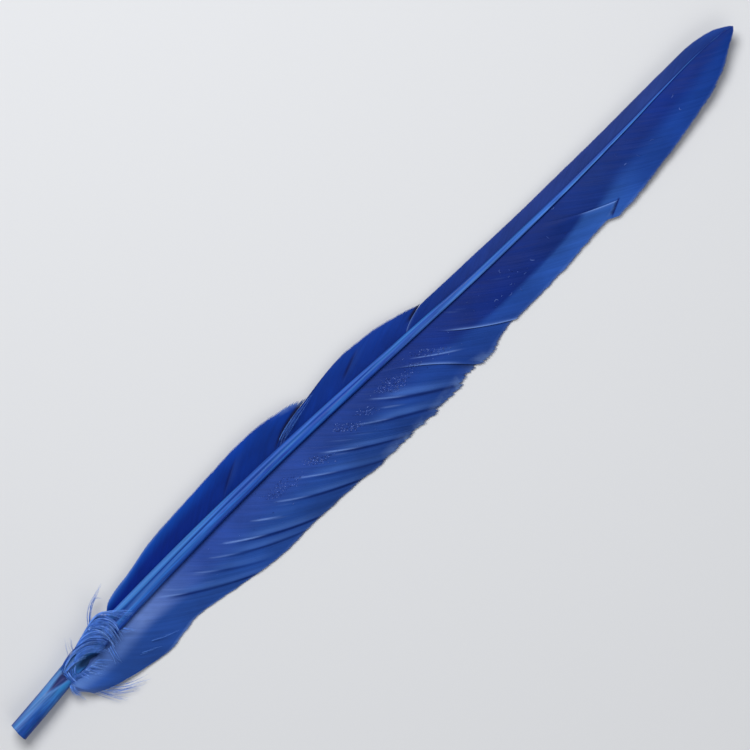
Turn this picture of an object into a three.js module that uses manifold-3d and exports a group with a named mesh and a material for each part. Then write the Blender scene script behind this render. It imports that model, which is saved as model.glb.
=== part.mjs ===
// A goose quill feather, dyed blue, lying with its grooved underside up. Millimetres, +Z up.
//
// The feather grew as one piece, so it is one solid: the quill with its hollow, cut end, the shaft
// that tapers from it to the tip, the narrow vane on the +Y side, the broad pleated vane on the -Y
// side, and the curl of down where the quill opens. The cut end is at -X and the tip at +X. The
// middle of the shaft lies flat on the surface, and both ends rise a little from it.
//
// Everything is laid out in the feather's own plan: x runs from the cut end along the straight line
// to the tip, and y is the distance from that line. The origin is moved at the end to the middle of
// the feather's underside.

import * as THREE from "three";
import Module from "manifold-3d";

const wasm = await Module();
wasm.setup();

// ---- Driving dimensions ----

const LENGTH = 310.9; // straight, from the cut end to the tip

// Rows of [x, middle of the shaft y, half of its width, its height].
const SHAFT = smoothTable([
  [0, 0, 3.13, 5.9],
  [13.9, 1.2, 3.12, 5.8],
  [26.4, 2.4, 3.1, 5.4],
  [48, 3.5, 2.87, 5.0],
  [79, 4.3, 2.48, 4.6],
  [110, 4.4, 2.09, 4.1],
  [141.1, 3.6, 1.78, 3.6],
  [172.1, 2.3, 1.4, 3.0],
  [203.1, 1.0, 1.03, 2.4],
  [234.1, 0.5, 0.78, 1.9],
  [265.1, 0.9, 0.5, 1.3],
  [280.6, 1.4, 0.34, 0.95],
  [296.1, 1.6, 0.22, 0.6],
  [306.9, 0.9, 0.18, 0.5],
  [LENGTH, 0, 0.15, 0.4],
]);
const GROOVE_SHARE = 0.3; // where across the half width the groove runs
const SHAFT_SHARES = [0.98, 0.86, 0.62, 0.46, GROOVE_SHARE, 0.14, -0.1, -0.45, -0.78, -0.97];
const GROOVE_DEPTH = smoothTable([[30, 0], [45, 0.8], [100, 0.7], [140, 0.35], [165, 0]]);
const ROUND_UNTIL = 20; // the quill's section is round up to here, and box-like past BOXED_FROM
const BOXED_FROM = 45;
const ROUND_POWER = 2;
const BOXED_POWER = 3.2;
const FLAT_SHARE = 0.03; // of the height, taken off under the box-like shaft to leave a flat
const QUILL_STEP = 6; // between the shaft's rings, up to BOXED_FROM
const SHAFT_STEP = 8; // and from there to the tip

// The hollow in the quill's cut end, by its width as a share of the quill's.
const BORE_SHARE = 0.82;
const BORE_INNER_SHARE = 0.78;
const BORE_END_SHARE = 0.3; // its blunt end
const BORE_LENGTH = 15;
const BORE_TAPER = 2;

const PIT_FROM = 15;
const PIT_TO = 35.8;

// The pit where the quill opens: rows of [x, middle y, half of its width, its depth].
const PIT = smoothTable([
  [PIT_FROM, 2.5, 0.2, 0.15],
  [22.6, 1.9, 1.4, 1.7],
  [31, 0.8, 1.1, 1.6],
  [PIT_TO, -0.3, 0.2, 0.15],
]);
const PIT_SHARES = [0.95, 0.5, 0, -0.5, -0.95]; // across its half width
const PIT_STEP = 2.6;
const CUT_MARGIN = 1; // how far a cut starts outside the shaft

// How far the ends of the feather rise from the surface that it lies on.
const LEVEL_FROM = 70;
const LEVEL_TO = 190;
const QUILL_RISE = 2.2;
const TIP_RISE = 5.5;

// Vanes: a barb leaves the shaft at this share of its height, and lies this high at its end.
const ATTACH_SHARE = 0.32;
const INNER_END_HEIGHT = 0.45;
const INNER_ARCH = 0.7;
const OUTER_END_SLOPE = 0.12; // the narrow vane's edge rises by this share of its width
const ROOT_SHARE = 0.5; // a barb starts this far across the shaft's half width
const ROOT_THICKNESS = 0.8;
const EDGE_THICKNESS = 0.34;
const FULL_WIDTH = 10; // a vane narrower than this is flatter and thinner
const THINNEST_SHARE = 0.5;
const HELD_UNTIL = 0.1; // a barb is held by the shaft up to this share of its length
const FREE_FROM = 0.55; // and its pleats and loose ends are full from here
const PLEAT_CREST = 0.55;
const PLEAT_TROUGH = 0.24;
const STATION_STEP = 5.5; // along the shaft, between the barbs that make the mesh
const PLEAT_GAP = 0.35; // along the shaft, between a trough and the crest beside it
const LIFT_REACH = 9; // how far along the shaft the lift of a loose end dies away

// Where the broad vane's pleats start along the shaft, and how far the flat vane falls and rises
// before the first and after the last.
const PLEAT_LEAD_IN = 12;
const PLEAT_LEAD_OUT = 50;
const PLEATS = [56.7, 67.3, 80.9, 90.8, 100.1, 109.1, 120, 132.7, 144.5, 158.1, 166.4, 187, 204];

// How strongly a barb bends towards the tip, by where along the shaft it starts.
const INNER_BEND = smoothTable([[20, 0.33], [27, 0.2], [34, 0.12], [48, 0.08], [LENGTH, 0.08]]);
const OUTER_BEND = smoothTable([
  [43, 0.1],
  [95, 0.08],
  [117, 0.26],
  [120, 0.26],
  [140, 0.1],
  [160, 0.1],
  [171, 0.22],
  [175, 0.2],
  [190, 0.1],
  [LENGTH, 0.1],
]);

// Each vane is made of stretches that have parted from each other. A stretch's rows are
// [where a barb leaves the shaft x, where it ends x, y], and its loose ends lift.
const INNER_STRETCHES = [
  {
    startLift: 0,
    endLift: -0.15,
    barbs: [
      [21.4, 33.8, -11.5],
      [26.4, 41.9, -13.6],
      [32.5, 51.1, -15.2],
      [38.8, 58, -14.4],
      [45, 65.7, -13.6],
      [56.7, 83.7, -16.7],
      [67.3, 96.1, -18.6],
      [82, 110, -18.6],
      [100.1, 131.1, -19.4],
      [109.1, 140.4, -20.5],
      [120, 151.9, -20.1],
      [132.7, 161.2, -20.8],
      [144.5, 173, -20.1],
      [150.6, 180, -18.9],
    ],
  },
  {
    startLift: 0.35,
    endLift: -0.15,
    barbs: [
      [149.6, 179.3, -19.4],
      [155, 185.1, -20],
      [159.7, 188.2, -19.7],
      [162.8, 191.3, -18.6],
      [176.2, 200.5, -16.7],
    ],
  },
  {
    startLift: 0.35,
    endLift: 0.9,
    barbs: [
      [175.2, 200.3, -17.6],
      [187.6, 213.9, -17.3],
      [199.9, 227.8, -16.7],
      [212.3, 240.2, -15.8],
      [218.6, 245.2, -14.9],
      [223.2, 248.3, -13.5],
    ],
  },
  {
    startLift: -0.15,
    endLift: 0,
    barbs: [
      [219.5, 245.8, -17.4],
      [234.1, 258.9, -16.1],
      [249.6, 271.9, -14.3],
      [265.1, 285.2, -11.8],
      [280.6, 296.7, -8.8],
      [296.1, 306, -3.7],
      [304.5, 309.9, -1.2],
      [309.6, LENGTH, -0.15],
    ],
  },
];
const OUTER_STRETCHES = [
  {
    startLift: 0,
    endLift: -0.1,
    barbs: [
      [43.7, 48.4, 9.6],
      [48, 57.4, 11.2],
      [57.4, 70.4, 13.6],
      [69.8, 85.2, 14.6],
      [82.2, 99.2, 15.4],
      [94.5, 111.6, 15.9],
      [103.8, 120.9, 15.3],
      [111.6, 129.3, 13.5],
      [117.8, 136.7, 11.2],
    ],
  },
  {
    startLift: 0.5,
    endLift: -0.1,
    barbs: [
      [118.3, 137.6, 10.8],
      [125.5, 145.1, 12.2],
      [134.8, 154.1, 12.8],
      [147.2, 165.8, 11.6],
      [159.7, 175.2, 9.3],
      [171.4, 181.7, 7],
    ],
  },
  {
    startLift: 0.4,
    endLift: 0,
    barbs: [
      [172.3, 182.5, 6.9],
      [187.6, 197.5, 6.4],
      [203.1, 213, 5.9],
      [218.6, 229.4, 5.6],
      [249.6, 260.4, 5.4],
      [280.6, 290.5, 5.6],
      [289.9, 298.5, 5.3],
      [299.1, 305.4, 3.7],
      [305.5, 309.7, 1.3],
      [309.6, LENGTH, 0.15],
    ],
  },
];
const BARB_POINTS = { inner: 9, outer: 6 }; // along each barb

// Locks of down, each by the points that it runs through and its half width at the root.
const DOWN_LOCKS = [
  // The curl that starts in the pit and bends over the shaft.
  {
    half: 0.9,
    path: [[24, 2.5, 4.4], [28.8, 4.7, 6.2], [34.1, 5.3, 6.9], [37.8, 2.5, 6.6], [38.8, -1.9, 4]],
  },
  {
    half: 1.0,
    path: [[24.6, 3.1, 4.4], [31, 5.6, 6.5], [37.2, 6.2, 7], [40.9, 2.8, 6.6], [42.2, -1.9, 4]],
  },
  {
    half: 1.0,
    path: [[25.2, 3.7, 4.4], [32.6, 6.5, 6.5], [40, 7.6, 6.8], [43.4, 3.7, 6.6], [44, -1.2, 4.2]],
  },
  {
    half: 1.0,
    path: [[25.8, 3.9, 4.4], [34.1, 6.8, 6.2], [42.5, 8.2, 6.2], [46.2, 5.3, 6.2], [48.4, 0.6, 5.2]],
  },
  {
    half: 0.8,
    path: [[25.5, 4.4, 4], [33, 6.2, 5.2], [40.5, 6.6, 5.4], [45.4, 5.6, 5.4]],
  },
  // The strands that fall to the broad vane's side.
  {
    half: 0.8,
    path: [[25.5, 0.8, 3.6], [29.5, -0.6, 4.3], [32.6, -3.7, 3.6], [36.6, -6.2, 3], [37.5, -8.4, 2.6]],
  },
  {
    half: 0.6,
    path: [[24, 0.2, 3.2], [21.6, -3.4, 3], [21.1, -5.6, 2.4]],
  },
  {
    half: 0.6,
    path: [[25, 0, 3], [24.4, -4, 2.8], [25.9, -8.9, 2.3], [28.4, -13.4, 1.8], [31.6, -17.6, 1.4]],
  },
  {
    half: 0.6,
    path: [[27.9, -6.6, 2.4], [31.9, -11.6, 2], [36.3, -14.9, 1.6], [39.6, -16.6, 1.2]],
  },
  // The strands that stand off on the narrow vane's side.
  {
    half: 0.7,
    path: [[37.5, 6.4, 6.4], [41.9, 10.9, 6], [45.3, 12.7, 5.2], [48, 14.6, 4.6], [52.1, 15.5, 4]],
  },
  {
    half: 0.6,
    path: [[26.5, 3.8, 4.6], [28.8, 8.4, 5], [31.6, 11.5, 4.6]],
  },
];
const LOCK_STEPS = 9;
const LOCK_THICKNESS = 0.45; // half of it, as a share of the half width
const LOCK_EDGE_SHARE = 0.2; // its thickness at its edges, as a share of that
const LOCK_TIP_SHARE = 0.28; // its width at its tip, as a share of that at its root

// ---- Small tools ----

// A smooth function through rows of [key, a, b, ...]: table(key, column), held at both ends.
function smoothTable(rows) {
  const slope = (i, c) => {
    const before = rows[Math.max(i - 1, 0)];
    const after = rows[Math.min(i + 1, rows.length - 1)];
    return (after[c] - before[c]) / (after[0] - before[0]);
  };
  return (key, column = 1) => {
    const k = THREE.MathUtils.clamp(key, rows[0][0], rows[rows.length - 1][0]);
    const i = Math.min(rows.findLastIndex((row) => row[0] <= k), rows.length - 2);
    const width = rows[i + 1][0] - rows[i][0];
    const f = (k - rows[i][0]) / width;
    return (
      rows[i][column] * (1 + 2 * f) * (1 - f) ** 2 +
      rows[i + 1][column] * f * f * (3 - 2 * f) +
      slope(i, column) * width * f * (1 - f) ** 2 -
      slope(i + 1, column) * width * f * f * (1 - f)
    );
  };
}

const { smoothstep, lerp } = THREE.MathUtils;

// Numbers from one end to the other, no further apart than step.
function spread(from, to, step) {
  const count = Math.ceil((to - from) / step);
  return Array.from({ length: count + 1 }, (_, i) => lerp(from, to, i / count));
}

// A closed skin over rings of points. The first half of a ring is its upper side, and the second
// half comes back under it, so that each end closes with a strip.
function loft(rings) {
  const size = rings[0].length;
  const points = rings.flat();
  const last = points.length - size;
  const faces = [];
  for (let start = 0; start < last; start += size)
    for (let k = 0; k < size; k++) {
      const [a, b] = [start + k, start + ((k + 1) % size)];
      faces.push(a, b, b + size, a, b + size, a + size);
    }
  for (let k = 0; k + 1 < size / 2; k++) {
    const [a, b, c, d] = [k, k + 1, size - 2 - k, size - 1 - k];
    faces.push(a, c, b, a, d, c);
    faces.push(last + a, last + b, last + c, last + a, last + c, last + d);
  }
  const geometry = new THREE.BufferGeometry().setFromPoints(points);
  geometry.setIndex(signedVolume(points, faces) < 0 ? faces.reverse() : faces);
  return toSolid(geometry);
}

function signedVolume(points, faces) {
  let sum = 0;
  for (let i = 0; i < faces.length; i += 3) {
    const [a, b, c] = faces.slice(i, i + 3).map((n) => points[n]);
    sum += a.dot(new THREE.Vector3().crossVectors(b, c));
  }
  return sum / 6;
}

function toSolid(geometry) {
  return new wasm.Manifold(
    new wasm.Mesh({
      numProp: 3,
      vertProperties: new Float32Array(geometry.getAttribute("position").array),
      triVerts: new Uint32Array(geometry.index.array),
    }),
  );
}

function toGeometry(solid) {
  const { numProp, vertProperties, triVerts } = solid.getMesh();
  const points = [];
  for (let i = 0; i < vertProperties.length; i += numProp)
    points.push(new THREE.Vector3(...vertProperties.slice(i, i + 3)));
  const geometry = new THREE.BufferGeometry().setFromPoints(points);
  geometry.setIndex([...triVerts]);
  geometry.computeVertexNormals();
  return geometry;
}

// ---- Shaft ----

// How high the feather's underside lies above the surface at x.
function rise(x) {
  const towardsQuill = Math.max(0, (LEVEL_FROM - x) / LEVEL_FROM);
  const towardsTip = Math.max(0, (x - LEVEL_TO) / (LENGTH - LEVEL_TO));
  return QUILL_RISE * towardsQuill ** 2 + TIP_RISE * towardsTip ** 2;
}

// The shaft's section at x, drawn in by scale towards its middle.
function shaftRing(x, scale = 1, place = x) {
  const [middle, half, height] = [1, 2, 3].map((column) => SHAFT(x, column));
  const boxed = smoothstep(x, ROUND_UNTIL, BOXED_FROM);
  const power = lerp(ROUND_POWER, BOXED_POWER, boxed);
  const point = (share, side) => {
    const reach = (1 - Math.abs(share) ** power) ** (1 / power);
    let z = (height / 2) * (1 + side * reach);
    if (side > 0 && share === GROOVE_SHARE) z -= GROOVE_DEPTH(x);
    if (side < 0) z = Math.max(0, z - FLAT_SHARE * height * boxed);
    const y = middle + scale * half * share;
    return new THREE.Vector3(place, y, rise(x) + height / 2 + scale * (z - height / 2));
  };
  const upper = SHAFT_SHARES.map((share) => point(share, 1));
  const lower = SHAFT_SHARES.map((share) => point(share, -1)).reverse();
  return [...upper, ...lower];
}

function makeShaft() {
  const quill = spread(0, BOXED_FROM, QUILL_STEP);
  const beyond = spread(BOXED_FROM, LENGTH, SHAFT_STEP).slice(1);
  return loft([...quill, ...beyond].map((x) => shaftRing(x)));
}

// The hollow at the quill's cut end.
function makeBore() {
  return loft([
    shaftRing(0, BORE_SHARE, -CUT_MARGIN),
    shaftRing(BORE_LENGTH, BORE_INNER_SHARE),
    shaftRing(BORE_LENGTH + BORE_TAPER, BORE_END_SHARE),
  ]);
}

// The pit in the underside where the quill opens and the down grows.
function makePit() {
  const rings = spread(PIT_FROM, PIT_TO, PIT_STEP).map((x) => {
    const [middle, half, depth] = [1, 2, 3].map((column) => PIT(x, column));
    const top = rise(x) + SHAFT(x, 3);
    const at = (share, z) => new THREE.Vector3(x, middle + half * share, z);
    const upper = PIT_SHARES.map((share) => at(share, top + CUT_MARGIN));
    const lower = PIT_SHARES.map((share) => at(share, top - depth * (1 - share * share))).reverse();
    return [...upper, ...lower];
  });
  return loft(rings);
}

// ---- Vanes ----

// The line of one barb in plan, from inside the shaft to the vane's edge.
function barbLine(tips, root, side) {
  const start = new THREE.Vector2(root, SHAFT(root, 1) + side * ROOT_SHARE * SHAFT(root, 2));
  const end = new THREE.Vector2(tips(root, 1), tips(root, 2));
  const bend = side < 0 ? INNER_BEND(root) : OUTER_BEND(root);
  const middle = new THREE.Vector2(
    lerp(start.x, end.x, 0.5 - bend),
    lerp(start.y, end.y, 0.5 + bend),
  );
  return new THREE.QuadraticBezierCurve(start, middle, end);
}

// The height of the broad vane's pleats at a barb: a crest at each pleat's start falls towards the
// tip to the next pleat's trough.
function pleatHeight(root) {
  const i = PLEATS.findLastIndex((start) => start <= root);
  if (i < 0) return -PLEAT_TROUGH * smoothstep(root, PLEATS[0] - PLEAT_LEAD_IN, PLEATS[0]);
  const start = PLEATS[i];
  const next = PLEATS[i + 1];
  if (next === undefined) return PLEAT_CREST * (1 - smoothstep(root, start, start + PLEAT_LEAD_OUT));
  return lerp(PLEAT_CREST, -PLEAT_TROUGH, (root - start) / (next - start));
}

// Where along the shaft a stretch's barbs are drawn, with one on each side of every pleat's step.
function stretchStations(first, last, pleats) {
  const steps = pleats.filter((x) => x > first + PLEAT_GAP && x < last - PLEAT_GAP);
  const ends = [first - PLEAT_GAP / 2, ...steps, last + PLEAT_GAP / 2];
  return ends
    .slice(1)
    .flatMap((to, i) => spread(ends[i] + PLEAT_GAP / 2, to - PLEAT_GAP / 2, STATION_STEP));
}

// One stretch of a vane as a closed skin: each ring is a barb's upper side and its underside.
function makeStretch({ barbs, startLift, endLift }, side, pointCount) {
  const tips = smoothTable(barbs);
  const first = barbs[0][0];
  const last = barbs[barbs.length - 1][0];
  const broad = side < 0;
  const rings = stretchStations(first, last, broad ? PLEATS : []).map((root) => {
    const line = barbLine(tips, root, side);
    const lift =
      startLift * (1 - smoothstep(root, first, first + LIFT_REACH)) +
      endLift * smoothstep(root, last - LIFT_REACH, last);
    const attach = ATTACH_SHARE * SHAFT(root, 3);
    const width = Math.abs(tips(root, 2) - SHAFT(root, 1));
    const fullness = Math.min(1, width / FULL_WIDTH);
    const end = broad ? INNER_END_HEIGHT : attach + OUTER_END_SLOPE * width;
    const upper = [];
    const lower = [];
    for (let k = 0; k < pointCount; k++) {
      const v = k / (pointCount - 1);
      const at = line.getPoint(v);
      const free = smoothstep(v, HELD_UNTIL, FREE_FROM);
      let z = rise(at.x) + lerp(attach, end, smoothstep(v, 0, 1));
      if (broad) z += fullness * (INNER_ARCH * Math.sin(Math.PI * v) + pleatHeight(root) * free);
      z += lift * free * fullness;
      const thickness = lerp(ROOT_THICKNESS, EDGE_THICKNESS, Math.sqrt(v));
      const half = (thickness / 2) * lerp(THINNEST_SHARE, 1, fullness);
      upper.push(new THREE.Vector3(at.x, at.y, z + half));
      lower.unshift(new THREE.Vector3(at.x, at.y, z - half));
    }
    return [...upper, ...lower];
  });
  return loft(rings);
}

// ---- Down ----

// A lock of down: a flat strand that tapers from its root to its tip.
function makeLock({ half, path }) {
  const line = new THREE.CatmullRomCurve3(path.map((point) => new THREE.Vector3(...point)));
  const up = new THREE.Vector3(0, 0, 1);
  const rings = spread(0, 1, 1 / LOCK_STEPS).map((f) => {
    const at = line.getPoint(f);
    const across = new THREE.Vector3().crossVectors(up, line.getTangent(f)).normalize();
    const width = half * lerp(1, LOCK_TIP_SHARE, f);
    const thick = width * LOCK_THICKNESS;
    const edge = thick * LOCK_EDGE_SHARE;
    const point = (share, z) =>
      at.clone().addScaledVector(across, width * share).addScaledVector(up, z);
    const upper = [point(1, edge), point(0, thick), point(-1, edge)];
    const lower = [point(-1, -edge), point(0, -thick), point(1, -edge)];
    return [...upper, ...lower];
  });
  return loft(rings);
}

// ---- The feather ----

const pieces = [
  ...INNER_STRETCHES.map((stretch) => makeStretch(stretch, -1, BARB_POINTS.inner)),
  ...OUTER_STRETCHES.map((stretch) => makeStretch(stretch, 1, BARB_POINTS.outer)),
  ...DOWN_LOCKS.map(makeLock),
];
const shaft = makeShaft().subtract(makePit());
const whole = pieces.reduce((sum, piece) => sum.add(piece), shaft).subtract(makeBore());

const geometry = toGeometry(whole);
geometry.computeBoundingBox();
const { min, max } = geometry.boundingBox;
geometry.translate(-(min.x + max.x) / 2, -(min.y + max.y) / 2, -min.z);

const feather = new THREE.Mesh(
  geometry,
  new THREE.MeshStandardMaterial({ color: 0x2c55a6, roughness: 0.55, metalness: 0 }),
);
feather.name = "feather";

const group = new THREE.Group();
group.add(feather);
export default group;
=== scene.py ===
"""A dyed goose quill feather lying with its grooved underside up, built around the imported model.

The shaft is one closed skin with a hollow cut end. Each vane is made of stretches that have parted
from each other, and each stretch is a row of separate barbs. The down at the base is curved
strands. Places are in the feather's own plan, in millimetres: x runs from the cut end straight to
the tip, y is the distance from that line, towards the narrow vane, and z is up from the floor.
"""

import math
from dataclasses import dataclass

import bpy
import numpy as np
from mathutils import Matrix, Vector


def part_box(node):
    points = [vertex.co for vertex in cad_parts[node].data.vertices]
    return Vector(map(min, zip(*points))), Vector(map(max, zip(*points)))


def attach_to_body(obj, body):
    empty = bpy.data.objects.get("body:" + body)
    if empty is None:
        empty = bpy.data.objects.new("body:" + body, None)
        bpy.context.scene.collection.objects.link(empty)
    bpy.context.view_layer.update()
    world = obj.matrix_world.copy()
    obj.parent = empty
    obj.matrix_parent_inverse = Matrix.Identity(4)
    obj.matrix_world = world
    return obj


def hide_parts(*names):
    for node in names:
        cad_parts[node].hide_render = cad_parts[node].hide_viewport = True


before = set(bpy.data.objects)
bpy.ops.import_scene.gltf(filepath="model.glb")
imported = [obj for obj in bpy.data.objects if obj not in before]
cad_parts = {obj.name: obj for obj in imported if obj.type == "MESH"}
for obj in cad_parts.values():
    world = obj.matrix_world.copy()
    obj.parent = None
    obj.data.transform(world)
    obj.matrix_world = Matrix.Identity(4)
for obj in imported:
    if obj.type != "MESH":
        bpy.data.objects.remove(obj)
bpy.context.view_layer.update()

MM = 0.001
LOW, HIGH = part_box("feather")
LENGTH = (HIGH.x - LOW.x) / MM
CUT_END_DEPTH = 0.01 * MM  # the cut end's own points lie no further than this from the feather's end
# Where the random draws start. A vane's stretches count on from its seed.
SEEDS = {"cut": 11, "creases": 5, "broad": 21, "narrow": 41, "flecks": 71, "curl": 61, "wisps": 62}


def cut_end_middle():
    """The middle of the quill's cut end, across the feather, in the frame."""
    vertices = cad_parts["feather"].data.vertices
    across = [v.co.y for v in vertices if v.co.x < LOW.x + CUT_END_DEPTH]
    return (min(across) + max(across)) / 2


PLAN_ORIGIN = np.array([LOW.x, cut_end_middle(), LOW.z])

# ---- Camera, lights and floor ----

PHOTO_WIDTH = 232.5 * MM  # what the picture's width covers at the feather
PHOTO_MIDDLE = (156.3, 1.1, 3.0)  # in the plan
PHOTO_RIGHT = Vector((0.7111, -0.7031, 0))  # the picture's right and up, in the frame
PHOTO_UP = Vector((0.7031, 0.7111, 0))
LENS_MM = 200
SENSOR_MM = 36
# Each light's place in the frame and its width, in metres, and its power in watts.
LIGHTS = {
    "key": ((0.17, 0.5, 0.86), 0.6, 8.6),
    "fill": ((-0.2, -0.7, 0.8), 0.9, 2.2),
}
SKY_COLOUR, SKY_STRENGTH = (0.95, 0.97, 1, 1), 0.26
FLOOR_SIZE = 3  # metres
FLOOR_COLOUR, FLOOR_ROUGHNESS = (0.7, 0.71, 0.73, 1), 0.9


def from_plan(point):
    return Vector(PLAN_ORIGIN + np.array(point) * MM)


def add_object(name, data):
    thing = bpy.data.objects.new(name, data)
    bpy.context.collection.objects.link(thing)
    return thing


def make_camera():
    data = bpy.data.cameras.new("camera")
    data.lens = LENS_MM
    data.sensor_width = SENSOR_MM
    camera = add_object("camera", data)
    distance = PHOTO_WIDTH * LENS_MM / SENSOR_MM
    back = PHOTO_RIGHT.cross(PHOTO_UP)
    turn = Matrix((PHOTO_RIGHT, PHOTO_UP, back)).transposed().to_4x4()
    camera.matrix_world = Matrix.Translation(from_plan(PHOTO_MIDDLE) + back * distance) @ turn
    bpy.context.scene.camera = camera


def make_light(name, place, size, power):
    data = bpy.data.lights.new(name, "AREA")
    data.shape = "DISK"
    data.size = size
    data.energy = power
    light = add_object(name, data)
    light.location = place
    light.rotation_euler = (-Vector(place)).to_track_quat("-Z", "Y").to_euler()


def make_world():
    world = bpy.data.worlds.new("world")
    world.use_nodes = True
    background = world.node_tree.nodes["Background"]
    background.inputs["Color"].default_value = SKY_COLOUR
    background.inputs["Strength"].default_value = SKY_STRENGTH
    bpy.context.scene.world = world


def make_floor():
    bpy.ops.mesh.primitive_plane_add(size=FLOOR_SIZE, location=(0, 0, 0))
    floor = bpy.context.object
    floor.name = "floor"
    nodes = Nodes("floor")
    nodes.surface(FLOOR_COLOUR, FLOOR_ROUGHNESS)
    floor.data.materials.append(nodes.material)


# ---- Small tools for numbers ----


def smooth_table(rows):
    """A smooth function through rows of (key, a, b, ...): table(keys, column), held at both ends."""
    rows = np.array(rows, float)
    keys = rows[:, 0]
    places = np.arange(len(rows))
    before = np.maximum(places - 1, 0)
    after = np.minimum(places + 1, len(rows) - 1)
    slopes = (rows[after] - rows[before]) / (keys[after] - keys[before])[:, None]

    def look_up(key, column=1):
        key = np.clip(key, keys[0], keys[-1])
        i = np.clip(np.searchsorted(keys, key, side="right") - 1, 0, len(keys) - 2)
        width = keys[i + 1] - keys[i]
        f = (key - keys[i]) / width
        return (
            rows[i, column] * (1 + 2 * f) * (1 - f) ** 2
            + rows[i + 1, column] * f * f * (3 - 2 * f)
            + slopes[i, column] * width * f * (1 - f) ** 2
            - slopes[i + 1, column] * width * f * f * (1 - f)
        )

    return look_up


def lerp(a, b, f):
    return a + (b - a) * f


def smoothstep(value, low, high):
    f = np.clip((value - low) / (high - low), 0, 1)
    return f * f * (3 - 2 * f)


def around(place, before, after):
    """The span from so far before a place to so far after it."""
    return place - before, place + after


def window(value, coming, going):
    """From 0 to 1 over the first span and back to 0 over the second."""
    return smoothstep(value, *coming) * (1 - smoothstep(value, *going))


def bump(value, middle, reach):
    return np.exp(-(((value - middle) / reach) ** 2))


def wander(rng, count, every):
    """A smooth random run of numbers from about -1 to 1 that turns about once in every steps."""
    knots = rng.uniform(-1, 1, int(count / every) + 4)
    place = np.arange(count) / every + rng.uniform()
    i = place.astype(int)
    return lerp(knots[i], knots[i + 1], smoothstep(place - i, 0, 1))


# ---- Small tools for meshes ----

TUBE_SIDES = 4  # of each barb and strand


def make_mesh(name, points, faces, numbers, material, sharp=None):
    """A piece from plan points and faces, with a number for each point under each name."""
    points = PLAN_ORIGIN + np.asarray(points).reshape(-1, 3) * MM
    mesh = bpy.data.meshes.new(name)
    mesh.from_pydata(points.tolist(), [], faces)
    mesh.polygons.foreach_set("use_smooth", np.ones(len(mesh.polygons), bool))
    for key, values in numbers.items():
        layer = mesh.attributes.new(key, "FLOAT", "POINT")
        layer.data.foreach_set("value", np.asarray(values, float).ravel())
    if sharp is not None:
        ends = np.empty(2 * len(mesh.edges), int)
        mesh.edges.foreach_get("vertices", ends)
        layer = mesh.attributes.new("sharp_edge", "BOOLEAN", "EDGE")
        layer.data.foreach_set("value", sharp(ends.reshape(-1, 2)))
    mesh.materials.append(material)
    piece = add_object(name, mesh)
    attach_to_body(piece, "root")
    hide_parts("feather")


def ring_faces(ring_count, size):
    """The faces between rings of points, each ring closed on itself."""
    ring = np.arange(ring_count - 1)[:, None] * size
    k = np.arange(size)[None, :]
    following = (k + 1) % size
    corners = [ring + k, ring + following, ring + size + following, ring + size + k]
    return np.stack(corners, -1).reshape(-1, 4)


def tube_faces(count, ring_count):
    """The faces of so many tubes, each of so many rings and closed at both ends."""
    size = ring_count * TUBE_SIDES
    end = np.arange(TUBE_SIDES)
    one = np.concatenate([ring_faces(ring_count, TUBE_SIDES), [end[::-1], size - TUBE_SIDES + end]])
    return (np.arange(count)[:, None, None] * size + one).reshape(-1, TUBE_SIDES)


# ---- Shaft ----

# Rows of x, middle of the shaft y, half of its width, its height.
SHAFT = smooth_table([
    (0, 0, 3.13, 5.9), (13.9, 1.2, 3.12, 5.8), (26.4, 2.4, 3.1, 5.4), (48, 3.5, 2.87, 5),
    (79, 4.3, 2.48, 4.6), (110, 4.4, 2.09, 4.1), (141.1, 3.6, 1.78, 3.6), (172.1, 2.3, 1.4, 3),
    (203.1, 1, 1.03, 2.4), (234.1, 0.5, 0.78, 1.9), (265.1, 0.9, 0.5, 1.3), (280.6, 1.4, 0.3, 0.85),
    (296.1, 1.6, 0.14, 0.45), (306.9, 0.9, 0.1, 0.3), (LENGTH, 0, 0.1, 0.25),
])
ROUND_UNTIL, BOXED_FROM = 20, 45  # the shaft's section is round, then box-like
ROUND_POWER, BOXED_POWER = 2, 3.2
FLAT_SHARE = 0.03  # of the height, taken off underneath
QUILL_RISE, TIP_RISE = 2.2, 5.5  # how far the feather's ends rise
LEVEL_FROM, LEVEL_TO = 70, 190

# Rows of x, the groove's middle and reach as shares of the half width, its depth.
GROOVE = smooth_table([
    (36, 0.05, 0.3, 0), (44, 0.1, 0.25, 0.75), (55, 0.13, 0.18, 0.65), (70, 0.16, 0.13, 0.42),
    (120, 0.2, 0.12, 0.28), (160, 0.24, 0.12, 0.15), (190, 0.24, 0.12, 0),
])
# The wedge where the quill opens and the pit behind it: rows of x, middle y, reach, depth.
WEDGE = smooth_table([
    (13.5, 2.4, 0.35, 0), (16, 2.4, 0.5, 0.4), (19, 2.3, 0.85, 0.9), (22, 2.2, 1.2, 1.3),
    (25.5, 1.9, 1.3, 0.5), (27.5, 1.2, 1.2, 0.9), (30.5, 0.8, 1.3, 1.9), (33, 0.4, 1.1, 1.7),
    (35.4, 0, 0.6, 0),
])
TONGUE_ALONG, TONGUE_ACROSS = (20, 2.8), (0.3, 0.8)  # the pale ridge below the wedge: middle, reach
PIT_FROM = (25, 27)  # where along the shaft the wedge gives way to the pit
TOP_FROM = (0, 0.5)  # the shares of the height between which the marks on top come in
SHAFT_SIDES = 64
# The outside's rings lie closer together up to here, and the others start one gap further on.
FINE_UNTIL, FINE_RINGS, COARSE_RINGS, RING_GAP = 50, 200, 330, 0.5

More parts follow.
